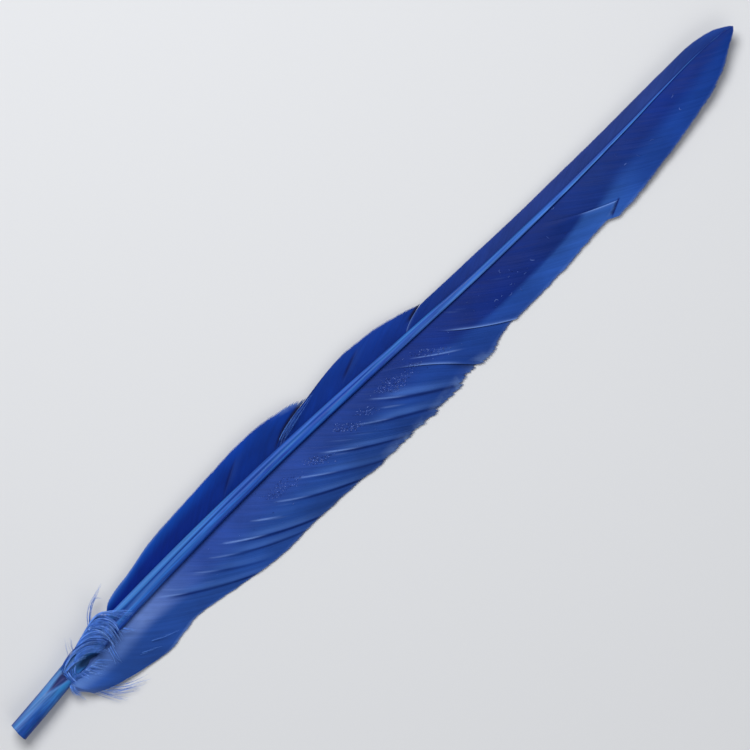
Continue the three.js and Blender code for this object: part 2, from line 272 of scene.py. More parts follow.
BORE_LENGTH, BORE_WALL, BORE_RINGS = 15, 0.45, 40
BORE_START = 0.12  # the hollow's first ring, this far inside the cut end
BLIND_WIDTH, BLIND_DEPTH = 0.3, 1.6  # the hollow's last ring: its share of the width, how far beyond
CUT_RAGGED = 0.12  # how uneven the cut end is
CUT_RUN, CUT_JOIN = 7, 4  # points round the cut to a turn, and to where it meets its own start
CUT_REACH = 1.5  # how far along the quill the unevenness goes


def rise(x):
    """How high the feather's underside lies above the floor at x."""
    towards_quill = np.clip((LEVEL_FROM - x) / LEVEL_FROM, 0, None)
    towards_tip = np.clip((x - LEVEL_TO) / (LENGTH - LEVEL_TO), 0, None)
    return QUILL_RISE * towards_quill**2 + TIP_RISE * towards_tip**2


def drawn_out(wave, power):
    """A sine or cosine that goes round an oval at power 2 and round a rounder box above it."""
    return np.sign(wave) * np.abs(wave) ** (2 / power)


def shaft_rings(x, wall=0.0):
    """The shaft's sections at each x, drawn in by a wall's thickness, with what the material reads."""
    angle = np.linspace(0, 2 * math.pi, SHAFT_SIDES, endpoint=False)[None, :]
    x = np.asarray(x, float)[:, None]
    middle, half, height = (SHAFT(x, column) for column in (1, 2, 3))
    boxed = smoothstep(x, ROUND_UNTIL, BOXED_FROM)
    power = lerp(ROUND_POWER, BOXED_POWER, boxed)
    share = drawn_out(np.cos(angle), power)
    lift = drawn_out(np.sin(angle), power)
    y = middle + (half - wall) * share
    z = height / 2 + (height / 2 - wall) * lift
    z = np.where(lift < 0, np.maximum(0, z - FLAT_SHARE * height * boxed), z)
    top = smoothstep(lift, *TOP_FROM) * (wall == 0)
    groove = GROOVE(x, 3) * (top * bump(share, GROOVE(x, 1), GROOVE(x, 2)))
    wedge = WEDGE(x, 3) * (top * bump(y, WEDGE(x, 1), WEDGE(x, 2)))
    in_pit = smoothstep(x, *PIT_FROM)
    # groove, wedge and pit are depths, which also set the painted shade there; hollow marks the painted
    # shade inside.
    numbers = {
        "share": share,
        "groove": groove,
        "wedge": wedge * (1 - in_pit),
        "pit": wedge * in_pit,
        "tongue": top * bump(x, *TONGUE_ALONG) * bump(y, *TONGUE_ACROSS),
        "hollow": np.full(y.shape, float(wall > 0)),
    }
    return np.stack([x + 0 * y, y, rise(x) + (z - groove - wedge)], -1), numbers


def make_shaft(material):
    """The quill and shaft: from the hollow's blind end out to the cut, and back along the outside."""
    rng = np.random.default_rng(SEEDS["cut"])
    inside, inside_numbers = shaft_rings(np.linspace(BORE_LENGTH, BORE_START, BORE_RINGS), BORE_WALL)
    blind = lerp(inside[:1].mean(axis=1, keepdims=True), inside[:1], BLIND_WIDTH)
    blind[..., 0] += BLIND_DEPTH
    fine = np.linspace(0, FINE_UNTIL, FINE_RINGS)
    coarse = np.linspace(FINE_UNTIL + RING_GAP, LENGTH, COARSE_RINGS)
    outside, outside_numbers = shaft_rings(np.concatenate([fine, coarse]))
    cut = CUT_RAGGED * wander(rng, SHAFT_SIDES, CUT_RUN) + CUT_RAGGED
    cut[-CUT_JOIN:] = lerp(cut[-CUT_JOIN:], cut[0], np.linspace(0.2, 0.8, CUT_JOIN))
    for skin in (inside, outside):
        skin[..., 0] += cut * (1 - smoothstep(skin[..., 0], 0, CUT_REACH))
    points = np.concatenate([blind, inside, outside])
    numbers = {
        key: np.concatenate([values[:1], values, outside_numbers[key]])
        for key, values in inside_numbers.items()
    }
    numbers["along"] = points[..., 0] / LENGTH
    end = np.arange(SHAFT_SIDES)
    faces = ring_faces(len(points), SHAFT_SIDES).tolist()
    faces.append(end[::-1].tolist())
    faces.append(((len(points) - 1) * SHAFT_SIDES + end).tolist())
    make_mesh("shaft", points, faces, numbers, material)


# ---- Vanes ----

# Rows of where a barb leaves the shaft, along it and as a share of its height.
INNER_ATTACH = smooth_table([(20, 0.7), (24, 0.72), (31, 0.5), (40, 0.38), (LENGTH, 0.42)])
OUTER_ATTACH = smooth_table([(20, 0.38), (LENGTH, 0.42)])
INNER_END_HEIGHT = 0.45
INNER_ARCH = 0.7
OUTER_END_SLOPE = 0.12
ROOT_SHARE = 0.5  # a barb starts this far across the shaft's half width
FULL_WIDTH = 10  # a vane narrower than this is flatter
HELD_UNTIL, FREE_FROM = 0.1, 0.55  # shares of a barb, between which its lift comes in
LIFT_REACH = 9

# How far a barb bows away from a straight line: rows of where along the shaft, share of the barb.
INNER_BEND = smooth_table([
    (20, 0.2), (24, 0.26), (29, 0.2), (35, 0.12), (48, 0.09), (62, 0.12), (80, 0.14), (112, 0.08),
    (140, 0.07), (149, 0.03), (156, -0.1), (163, 0.02), (170, 0.07), (LENGTH, 0.08),
])
OUTER_BEND = smooth_table([
    (43, 0.1), (95, 0.08), (117, 0.26), (120, 0.26), (140, 0.1), (160, 0.1), (171, 0.22), (175, 0.2),
    (190, 0.1), (LENGTH, 0.1),
])

# Each stretch of a vane: how far its first and last barbs lift, the rims there, and rows of where a
# barb leaves the shaft x, where it ends x, y. A rim is a painted highlight on a lifted edge, or if
# under 0 a painted shadow in the split: how light it is (dark if under 0), the shares of the barb
# between which it is seen, and its reach along the shaft.
INNER_STRETCHES = [
    {"lift": (1.1, -0.15), "rims": [(0.6, 0, 2, 0.9), (-1, 0.62, 2, 2.2)], "barbs": [
        (22.2, 22.9, -5.2), (22.6, 25.2, -8), (23.4, 30.2, -10.4), (25.4, 35.6, -12),
        (28.6, 41.9, -13.6), (33.6, 51.1, -15.2), (38.8, 58, -14.4), (45, 65.7, -13.6),
        (56.7, 83.7, -16.7), (65.3, 96.1, -18.6), (79.2, 110, -18.6), (98.4, 131.1, -19.4),
        (107.6, 140.4, -20.5), (119.4, 151.9, -20.1), (132.7, 161.2, -20.8), (144.5, 173, -20.1),
        (150.6, 177.6, -19.5), (156.2, 182.2, -18.8),
    ]},
    {"lift": (0.35, -0.15), "rims": [(0.8, 0.22, 0.66, 0.4), (-0.5, 0.3, 2, 1.5)], "barbs": [
        (155.4, 181.5, -19.3), (158.6, 185.1, -20), (161.6, 188.2, -19.7), (164.6, 191.3, -18.6),
        (176.2, 200.5, -16.7),
    ]},
    {"lift": (0.35, 0.9), "rims": [(0.95, 0.22, 2, 0.4), (0.9, 0.5, 2, 0.4)], "barbs": [
        (175.2, 200.3, -17.6), (187.6, 213.9, -17.3), (199.9, 227.8, -16.7), (212.3, 240.2, -15.8),
        (218.6, 245.2, -14.9), (223.2, 248.3, -13.5),
    ]},
    {"lift": (-0.15, 0), "rims": [None, None], "barbs": [
        (219.5, 245.8, -17.4), (234.1, 258.9, -16.1), (249.6, 271.9, -14.3), (265.1, 285.2, -11.8),
        (280.6, 296.7, -8.8), (296.1, 306, -3.7), (304.5, 309.9, -1.2), (309.6, LENGTH, -0.15),
    ]},
]
OUTER_STRETCHES = [
    {"lift": (0, -0.3), "rims": [None, (-1.1, 0, 2, 1.9)], "barbs": [
        (43.2, 44.9, 6.9), (44.4, 47.6, 9.1), (46.2, 52, 10.4), (49, 58.6, 11.3), (57.4, 70.4, 13.6),
        (69.8, 85.2, 14.6), (82.2, 99.2, 15.4), (94.5, 111.6, 15.9), (103.8, 120.9, 15.3),
        (111.6, 129.3, 13.5), (118.6, 136.9, 11.1),
    ]},
    {"lift": (0.5, -0.3), "rims": [(0.9, 0.25, 2, 0.45), (-1.3, 0.42, 2, 2.4)], "barbs": [
        (116.9, 137.2, 10.8), (125.5, 145.1, 12.2), (134.8, 154.1, 12.8), (147.2, 165.8, 11.6),
        (159.7, 175.2, 9.3), (172.4, 181.9, 7),
    ]},
    {"lift": (0.4, 0), "rims": [(0.6, 0, 0.7, 0.45), None], "barbs": [
        (171.8, 182.4, 6.8), (187.6, 197.5, 6.4), (203.1, 213, 5.9), (218.6, 229.4, 5.6),
        (249.6, 260.4, 5.4), (280.6, 290.5, 5.6), (289.9, 298.5, 5.3), (299.1, 305.4, 3.7),
        (305.5, 309.7, 1.3), (309.6, LENGTH, 0.15),
    ]},
]

# Pleats, where barbs have slipped over their neighbours: rows of where along the shaft the fold is
# at the barbs' roots and where at their tips, its depth, the shares of the barb between which it
# runs, the share where the painted highlight on its crest ends, and how light that highlight is. The
# depth also sets the painted shade in its furrow and the painted sheen band that follows it.
INNER_PLEATS = [
    (56.4, 59.2, 0.75, 0.14, 1, 0.34, 0.8),
    (67.3, 66.6, 0.4, 0.24, 0.9, 0.4, 0.6),
    (72.6, 77.2, 0.5, 0.24, 1, 0.42, 0.6),
    (78.6, 83.8, 0.75, 0.24, 1, 0.5, 1.3),
    (89, 90, 0.35, 0.3, 0.6, 0.46, 1.1),
    (96.2, 98.4, 0.7, 0.34, 1, 0.55, 0.8),
    (106.2, 108.8, 0.7, 0.31, 1, 0.56, 0.8),
    (117.6, 119, 0.75, 0.33, 1, 0.56, 1),
    (129.8, 136.8, 0.75, 0.34, 1, 0.56, 0.8),
    (138.4, 140, 0.12, 0.42, 0.55, 0.54, 0.6),
    (142.8, 144.8, 0.8, 0.24, 1, 0.5, 0.7),
    (160, 164, 0.35, 0.26, 0.62, 0.62, 0.9),
]
OUTER_PLEATS = [
    (93, 97.5, 0.55, 0.1, 0.7, 0.66, 0.05),
    (117.8, 118.6, 0.5, 0.05, 1, 0.7, 0.4),
    (119.6, 121, 0.5, 0, 0.6, 0.55, 0.35),
    (143.8, 142.4, 0.7, 0.2, 0.8, 0.76, 0.05),
]
PLEAT_IN, PLEAT_OUT = (0, 0.3), (0.15, 0.05)  # how far before and after its ends it comes in and goes
PLEAT_LEAD = 9  # how far along the shaft a crest falls away towards the tip
PLEAT_DIP = 3  # and how far the sheet dips before the step
PLEAT_HEIGHT = 0.55  # how much of a pleat's depth is relief
PLEAT_TOP, PLEAT_BOTTOM = 0.62, -0.38  # where the step's two sides lie, as shares of that relief
PLEAT_STEP = 1.5
UNEVEN, UNEVEN_WAVES = 0.2, 7  # how unevenly deep a pleat is along the barb
WIGGLE, WIGGLE_WAVES, WIGGLE_PHASE = 0.3, 6, 2.3  # how far its line winds
FURROW_IN = (-0.02, 0.2)  # how far before and after the pleat's start the painted shade in its furrow comes in
FURROW_REACH = 1.05
SHEEN_FROM, SHEEN_TO = (0.2, 1.4), (1.8, 6)  # the painted sheen band that follows a furrow comes in and goes
SHEEN_FADE, SHEEN_FADE_FROM = 0.6, 0.7  # how much of it is lost at the tips, and from which share on
CREST_IN, CREST_OUT = (0.04, 0.06), (0.08, 0.08)  # as PLEAT_IN and PLEAT_OUT, for the painted highlight on the crest
CREST_AHEAD = 0.7  # how far past the furrow the crest's painted highlight lies
CREST_REACH = 0.36
RIM_IN = (0, 0.25)  # the shares after its ends over which a rim's painted highlight or shadow comes in and goes

# Short creases between the pleats, each a painted highlight or, if dark, painted shade: how many,
# the span of their roots along the shaft, of their middles and reaches as shares of the barb, and of
# how light they are (dark if under 0).
CREASE_COUNT = 44
CREASE_SPANS = ((60, 215), (0.05, 0.5), (0.03, 0.09), (-0.35, 0.3))
CREASE_REACH = 0.35  # along the shaft

FLAP_EDGE = ((243.6, -15.5), (248.6, -13.2))  # where the flap's short edge lies on the next stretch, along which its shadow is painted

# How far along a barb the dark zone beside the shaft ends: rows of where along the shaft, share
# of the barb, softness.
INNER_BORDER = smooth_table([
    (20, 0.34, 0.14), (28, 0.36, 0.12), (42, 0.37, 0.12), (58, 0.38, 0.13), (80, 0.36, 0.18),
    (140, 0.42, 0.16), (165, 0.5, 0.14), (185, 0.62, 0.045), (228, 0.6, 0.055), (245, 0.5, 0.14),
    (270, 0.52, 0.2), (296, 0.6, 0.25), (LENGTH, 0.6, 0.3),
])
OUTER_BORDER = smooth_table([(44, 0.6, 0.35), (60, 0.72, 0.3), (150, 0.75, 0.4), (LENGTH, 0.6, 0.4)])

# How much lighter the broad vane's edge is (darker if under 0): rows of where along the shaft, share.
EDGE_TONE = smooth_table([
    (62, 0), (90, -0.2), (165, -0.17), (178, 0), (196, 0.22), (230, 0.18), (242, 0),
])
EDGE_FROM, EDGE_TO = 0.55, 0.92  # the shares of a barb between which it comes in

BARB_EVERY = 0.42  # along the shaft
BROAD_POINTS, NARROW_POINTS = 23, 15  # along each barb
POINT_POWER = 0.9  # under 1, so they lie closer together at the tip
# How uneven the barbs' ends are, as shares of a barb: each by itself, and runs of so many barbs.
END_OWN, END_RUNS = 0.008, ((0.008, 5), (0.012, 16))
# Where an edge is ragged: it comes in over the first span along the shaft and goes over the second.
INNER_FRINGE = ((104, 118), (158, 164))
OUTER_FRINGE = ((106, 116), (118, 121))
FRINGE_OWN, FRINGE_SHARED, FRINGE_RUN = 0.025, 0.02, 6  # how uneven the ends are there
CLUMP, CLUMP_FROM, CLUMP_PULL = 5, (0.9, 1.02), 0.55  # barbs whose tips cling together there
WAVER, WAVER_RUN, WAVER_FROM = 0.02, 3, (0.05, 0.4)  # how far barbs rise and sink
TILT, TILT_SPREAD = 0.015, 0.012  # how far a barb's side stands higher than its middle
RIDGE, RIDGE_SHARES = 0.04, (1.5, 0.5)  # how far its middle stands above its sides, at root and tip
OVERLAP = 0.03  # how far a barb reaches over its neighbour
LEAST_SPACING = 0.05  # between barbs, as the overlap counts it
TAPER_FROM = 0.965  # the share of a barb from which it narrows to its tip
TIP_WIDTH = 0.1
SHADE_RUN = 4  # barbs with about the same shade


def lines_of(side, tips, roots, shares):
    """Each barb's line in plan: points for roots (rows) and shares of the barb (columns)."""
    roots = roots[:, None]
    bend = (INNER_BEND if side < 0 else OUTER_BEND)(roots)
    start = np.stack([roots, SHAFT(roots, 1) + side * ROOT_SHARE * SHAFT(roots, 2)], -1)
    end = np.stack([tips(roots, 1), tips(roots, 2)], -1)
    middle = np.stack([
        lerp(start[..., 0], end[..., 0], 0.5 - bend),
        lerp(start[..., 1], end[..., 1], 0.5 + bend),
    ], -1)
    v = shares[..., None]
    return start * (1 - v) ** 2 + 2 * middle * v * (1 - v) + end * v**2


def creases():
    """Each short crease's place, middle, reach and light, at random."""
    rng = np.random.default_rng(SEEDS["creases"])
    return [[rng.uniform(*span) for span in CREASE_SPANS] for _ in range(CREASE_COUNT)]


def pleats_at(side, roots, shares):
    """How high pleats lift the sheet, and how much painted furrow shade, painted sheen and painted crest
    highlight each place gets.
    """
    height, furrow_shade, painted_sheen, crest_highlight = (np.zeros(shares.shape) for _ in range(4))
    roots = roots[:, None]
    for at_root, at_tip, depth, low, high, crest_end, light in INNER_PLEATS if side < 0 else OUTER_PLEATS:
        uneven = 1 - UNEVEN + UNEVEN * np.sin(at_root + UNEVEN_WAVES * shares)
        strength = depth * smoothstep(shares, *around(low, *PLEAT_IN)) * uneven
        if high < 1:
            strength = strength * (1 - smoothstep(shares, *around(high, *PLEAT_OUT)))
        line = lerp(at_root, at_tip, shares)
        line = line + WIGGLE * np.sin(WIGGLE_PHASE * at_root + WIGGLE_WAVES * shares)
        past = roots - line
        fall = PLEAT_TOP * np.exp(-np.clip(past, 0, None) / PLEAT_LEAD)
        dip = PLEAT_BOTTOM * np.exp(np.clip(past, None, 0) / PLEAT_DIP)
        step = smoothstep(past, -PLEAT_STEP / 2, PLEAT_STEP / 2)
        height += PLEAT_HEIGHT * strength * lerp(dip, fall, step)
        # Painted shade in the furrow, a painted sheen band after it and a painted highlight on the crest.
        furrow_shade += strength * smoothstep(shares, *around(low, *FURROW_IN)) * bump(past, 0, FURROW_REACH)
        fade = 1 - SHEEN_FADE * smoothstep(shares, SHEEN_FADE_FROM, 1)
        painted_sheen += strength * window(past, SHEEN_FROM, SHEEN_TO) * fade
        seen = window(shares, around(low, *CREST_IN), around(crest_end, *CREST_OUT))
        crest_highlight += light * seen * bump(past, CREST_AHEAD, CREST_REACH)
    # Short creases: painted highlights, or painted shade where dark.
    if side < 0:
        for root, middle, reach, light in creases():
            near = bump(roots, root, CREASE_REACH) * bump(shares, middle, reach)
            crest_highlight += max(light, 0) * near
            furrow_shade += max(-light, 0) * near
    return height, furrow_shade, painted_sheen, crest_highlight


def under_flap(plan):
    """How far places are beyond the flap's short edge, and how far along it from 0 to 1, for its painted
    shadow.
    """
    start, end = np.array(FLAP_EDGE)
    length = np.linalg.norm(end - start)
    along = (end - start) / length
    offset = plan - start
    return offset @ (along[1], -along[0]), offset @ along / length


def sheet_of(side, stretch, roots, shares):
    """Where a stretch's sheet runs, and what the material reads there."""
    rows = stretch["barbs"]
    start_lift, end_lift = stretch["lift"]
    tips = smooth_table(rows)
    plan = lines_of(side, tips, roots, shares)
    first, last = rows[0][0], rows[-1][0]
    column = roots[:, None]
    lift = start_lift * (1 - smoothstep(column, first, first + LIFT_REACH))
    lift = lift + end_lift * smoothstep(column, last - LIFT_REACH, last)
    attach = (INNER_ATTACH if side < 0 else OUTER_ATTACH)(column) * SHAFT(column, 3)
    width = np.abs(tips(column, 2) - SHAFT(column, 1))
    fullness = np.clip(width / FULL_WIDTH, 0, 1)
    end = INNER_END_HEIGHT if side < 0 else attach + OUTER_END_SLOPE * width
    free = smoothstep(shares, HELD_UNTIL, FREE_FROM)
    z = rise(plan[..., 0]) + lerp(attach, end, smoothstep(shares, 0, 1))
    if side < 0:
        z = z + fullness * INNER_ARCH * np.sin(math.pi * np.clip(shares, 0, 1))
    pleat, furrow_shade, painted_sheen, crest_highlight = pleats_at(side, roots, shares)
    z = z + fullness * (pleat + lift * free)
    gap_shadow = np.zeros(shares.shape)
    # Rims: a painted highlight on a lifted edge, or a painted shadow in the split beside it.
    for rim, distance in zip(stretch["rims"], (column - first, last - column)):
        if rim is None:
            continue
        light, low, high, reach = rim
        seen = window(shares, around(low, *RIM_IN), around(high, *RIM_IN))
        if light > 0:
            crest_highlight = crest_highlight + light * seen * np.exp(-distance / reach)
        else:
            gap_shadow = gap_shadow - light * seen * bump(distance, 0, reach)
    beyond, along_edge = under_flap(plan)
    border = INNER_BORDER if side < 0 else OUTER_BORDER
    zone = smoothstep(shares, *around(border(column, 1), border(column, 2), border(column, 2)))
    edge_tone = EDGE_TONE(column) * smoothstep(shares, EDGE_FROM, EDGE_TO) * (side < 0)
    numbers = {
        "tone": 1 + edge_tone,
        "along": plan[..., 0] / LENGTH,
        "root": column / LENGTH + 0 * shares,
        "reach": shares,
        "zone": zone,
        "furrow_shade": furrow_shade,
        "painted_sheen": painted_sheen,
        "crest_highlight": crest_highlight,
        "gap_shadow": gap_shadow,
        "beyond_flap": beyond,
        "along_flap": along_edge,
        # how far from the shaft's edge, which sets the painted contact shadow beside it
        "clear": np.abs(plan[..., 1] - SHAFT(plan[..., 0], 1)) - SHAFT(plan[..., 0], 2),
    }
    return np.concatenate([plan, z[..., None]], -1), numbers


def along_sides(ends_of_edges):
    """Which edges run along a ribbon's two sides."""
    place = ends_of_edges % TUBE_SIDES
    return (place[:, 0] == place[:, 1]) & (place[:, 0] % 2 == 1)


def make_stretch(name, side, stretch, point_count, seed, material):
    """One stretch of a vane: a flat, ridged, closed ribbon for each barb."""
    rng = np.random.default_rng(seed)
    rows = stretch["barbs"]
    first, last = rows[0][0], rows[-1][0]
    count = int((last - first) / BARB_EVERY) + 1
    roots = np.linspace(first, last, count)
    ends = 1 + END_OWN * rng.uniform(-1, 1, count)
    for amount, run in END_RUNS:
        ends += amount * wander(rng, count, run)
    fringed = window(roots, *(INNER_FRINGE if side < 0 else OUTER_FRINGE))
    ends += fringed * FRINGE_OWN * rng.uniform(-1, 1, count)
    ends += fringed * FRINGE_SHARED * wander(rng, count, FRINGE_RUN)
    shares = np.linspace(0, 1, point_count)[None, :] ** POINT_POWER * ends[:, None]
    middle, numbers = sheet_of(side, stretch, roots, shares)
    clump = np.arange(count) // CLUMP
    heart = np.array([middle[clump == c].mean(axis=0) for c in range(clump[-1] + 1)])[clump]
    pull = fringed[:, None] * smoothstep(shares, *CLUMP_FROM) * CLUMP_PULL
    middle = lerp(middle, heart, pull[..., None])
    middle[..., 2] += WAVER * wander(rng, count, WAVER_RUN)[:, None] * smoothstep(shares, *WAVER_FROM)

    # The sides of a ribbon run halfway to the barbs beside it.
    half_gaps = np.diff(middle, axis=0) / 2
    towards_next = np.concatenate([half_gaps, half_gaps[-1:]])
    towards_last = -np.concatenate([half_gaps[:1], half_gaps])
    spacing = np.linalg.norm((towards_next - towards_last)[..., :2] / 2, axis=-1)
    taper = 1 - (1 - TIP_WIDTH) * smoothstep(shares / ends[:, None], TAPER_FROM, 1)
    taper = (taper * (1 + OVERLAP / np.maximum(spacing, LEAST_SPACING)))[..., None]
    up = np.array([0, 0, 1])
    tilt = up * (TILT + TILT_SPREAD * rng.uniform(-1, 1, count)[:, None, None])
    ridge = RIDGE * lerp(*RIDGE_SHARES, np.clip(shares, 0, 1))[..., None] * up
    right = middle + towards_next * taper + tilt
    left = middle + towards_last * taper - tilt
    ribbon = np.stack([middle + ridge, right, middle - ridge, left], axis=2)
    faces = tube_faces(count, point_count)
    if side < 0:
        faces = faces[:, ::-1]

    shade = (rng.uniform(0, 1, count) + (wander(rng, count, SHADE_RUN) + 1) / 2) / 2
    numbers["barb"] = shade[:, None] + 0 * shares
    numbers["fringe"] = fringed[:, None] + 0 * shares
    numbers = {key: np.repeat(values[..., None], TUBE_SIDES, axis=2) for key, values in numbers.items()}
    make_mesh(name, ribbon, faces.tolist(), numbers, material, sharp=along_sides)


# ---- Down ----


@dataclass
class Veil:
    """Strands of down between two guide strands."""

    first: list  # the guides' points
    last: list
    count: int
    radius: float
    wander: float  # how far each strand leaves its place
    shortest: float  # the shortest strand, as a share of the guides
    tint: tuple  # the range from dark to light
    late: float = 0  # how far along the guides the last of them starts
    crimped: float = 0.3  # the share of them that is crimped
    locks: int = 0  # how many locks they cling in, or 0 for as many as LOCK says


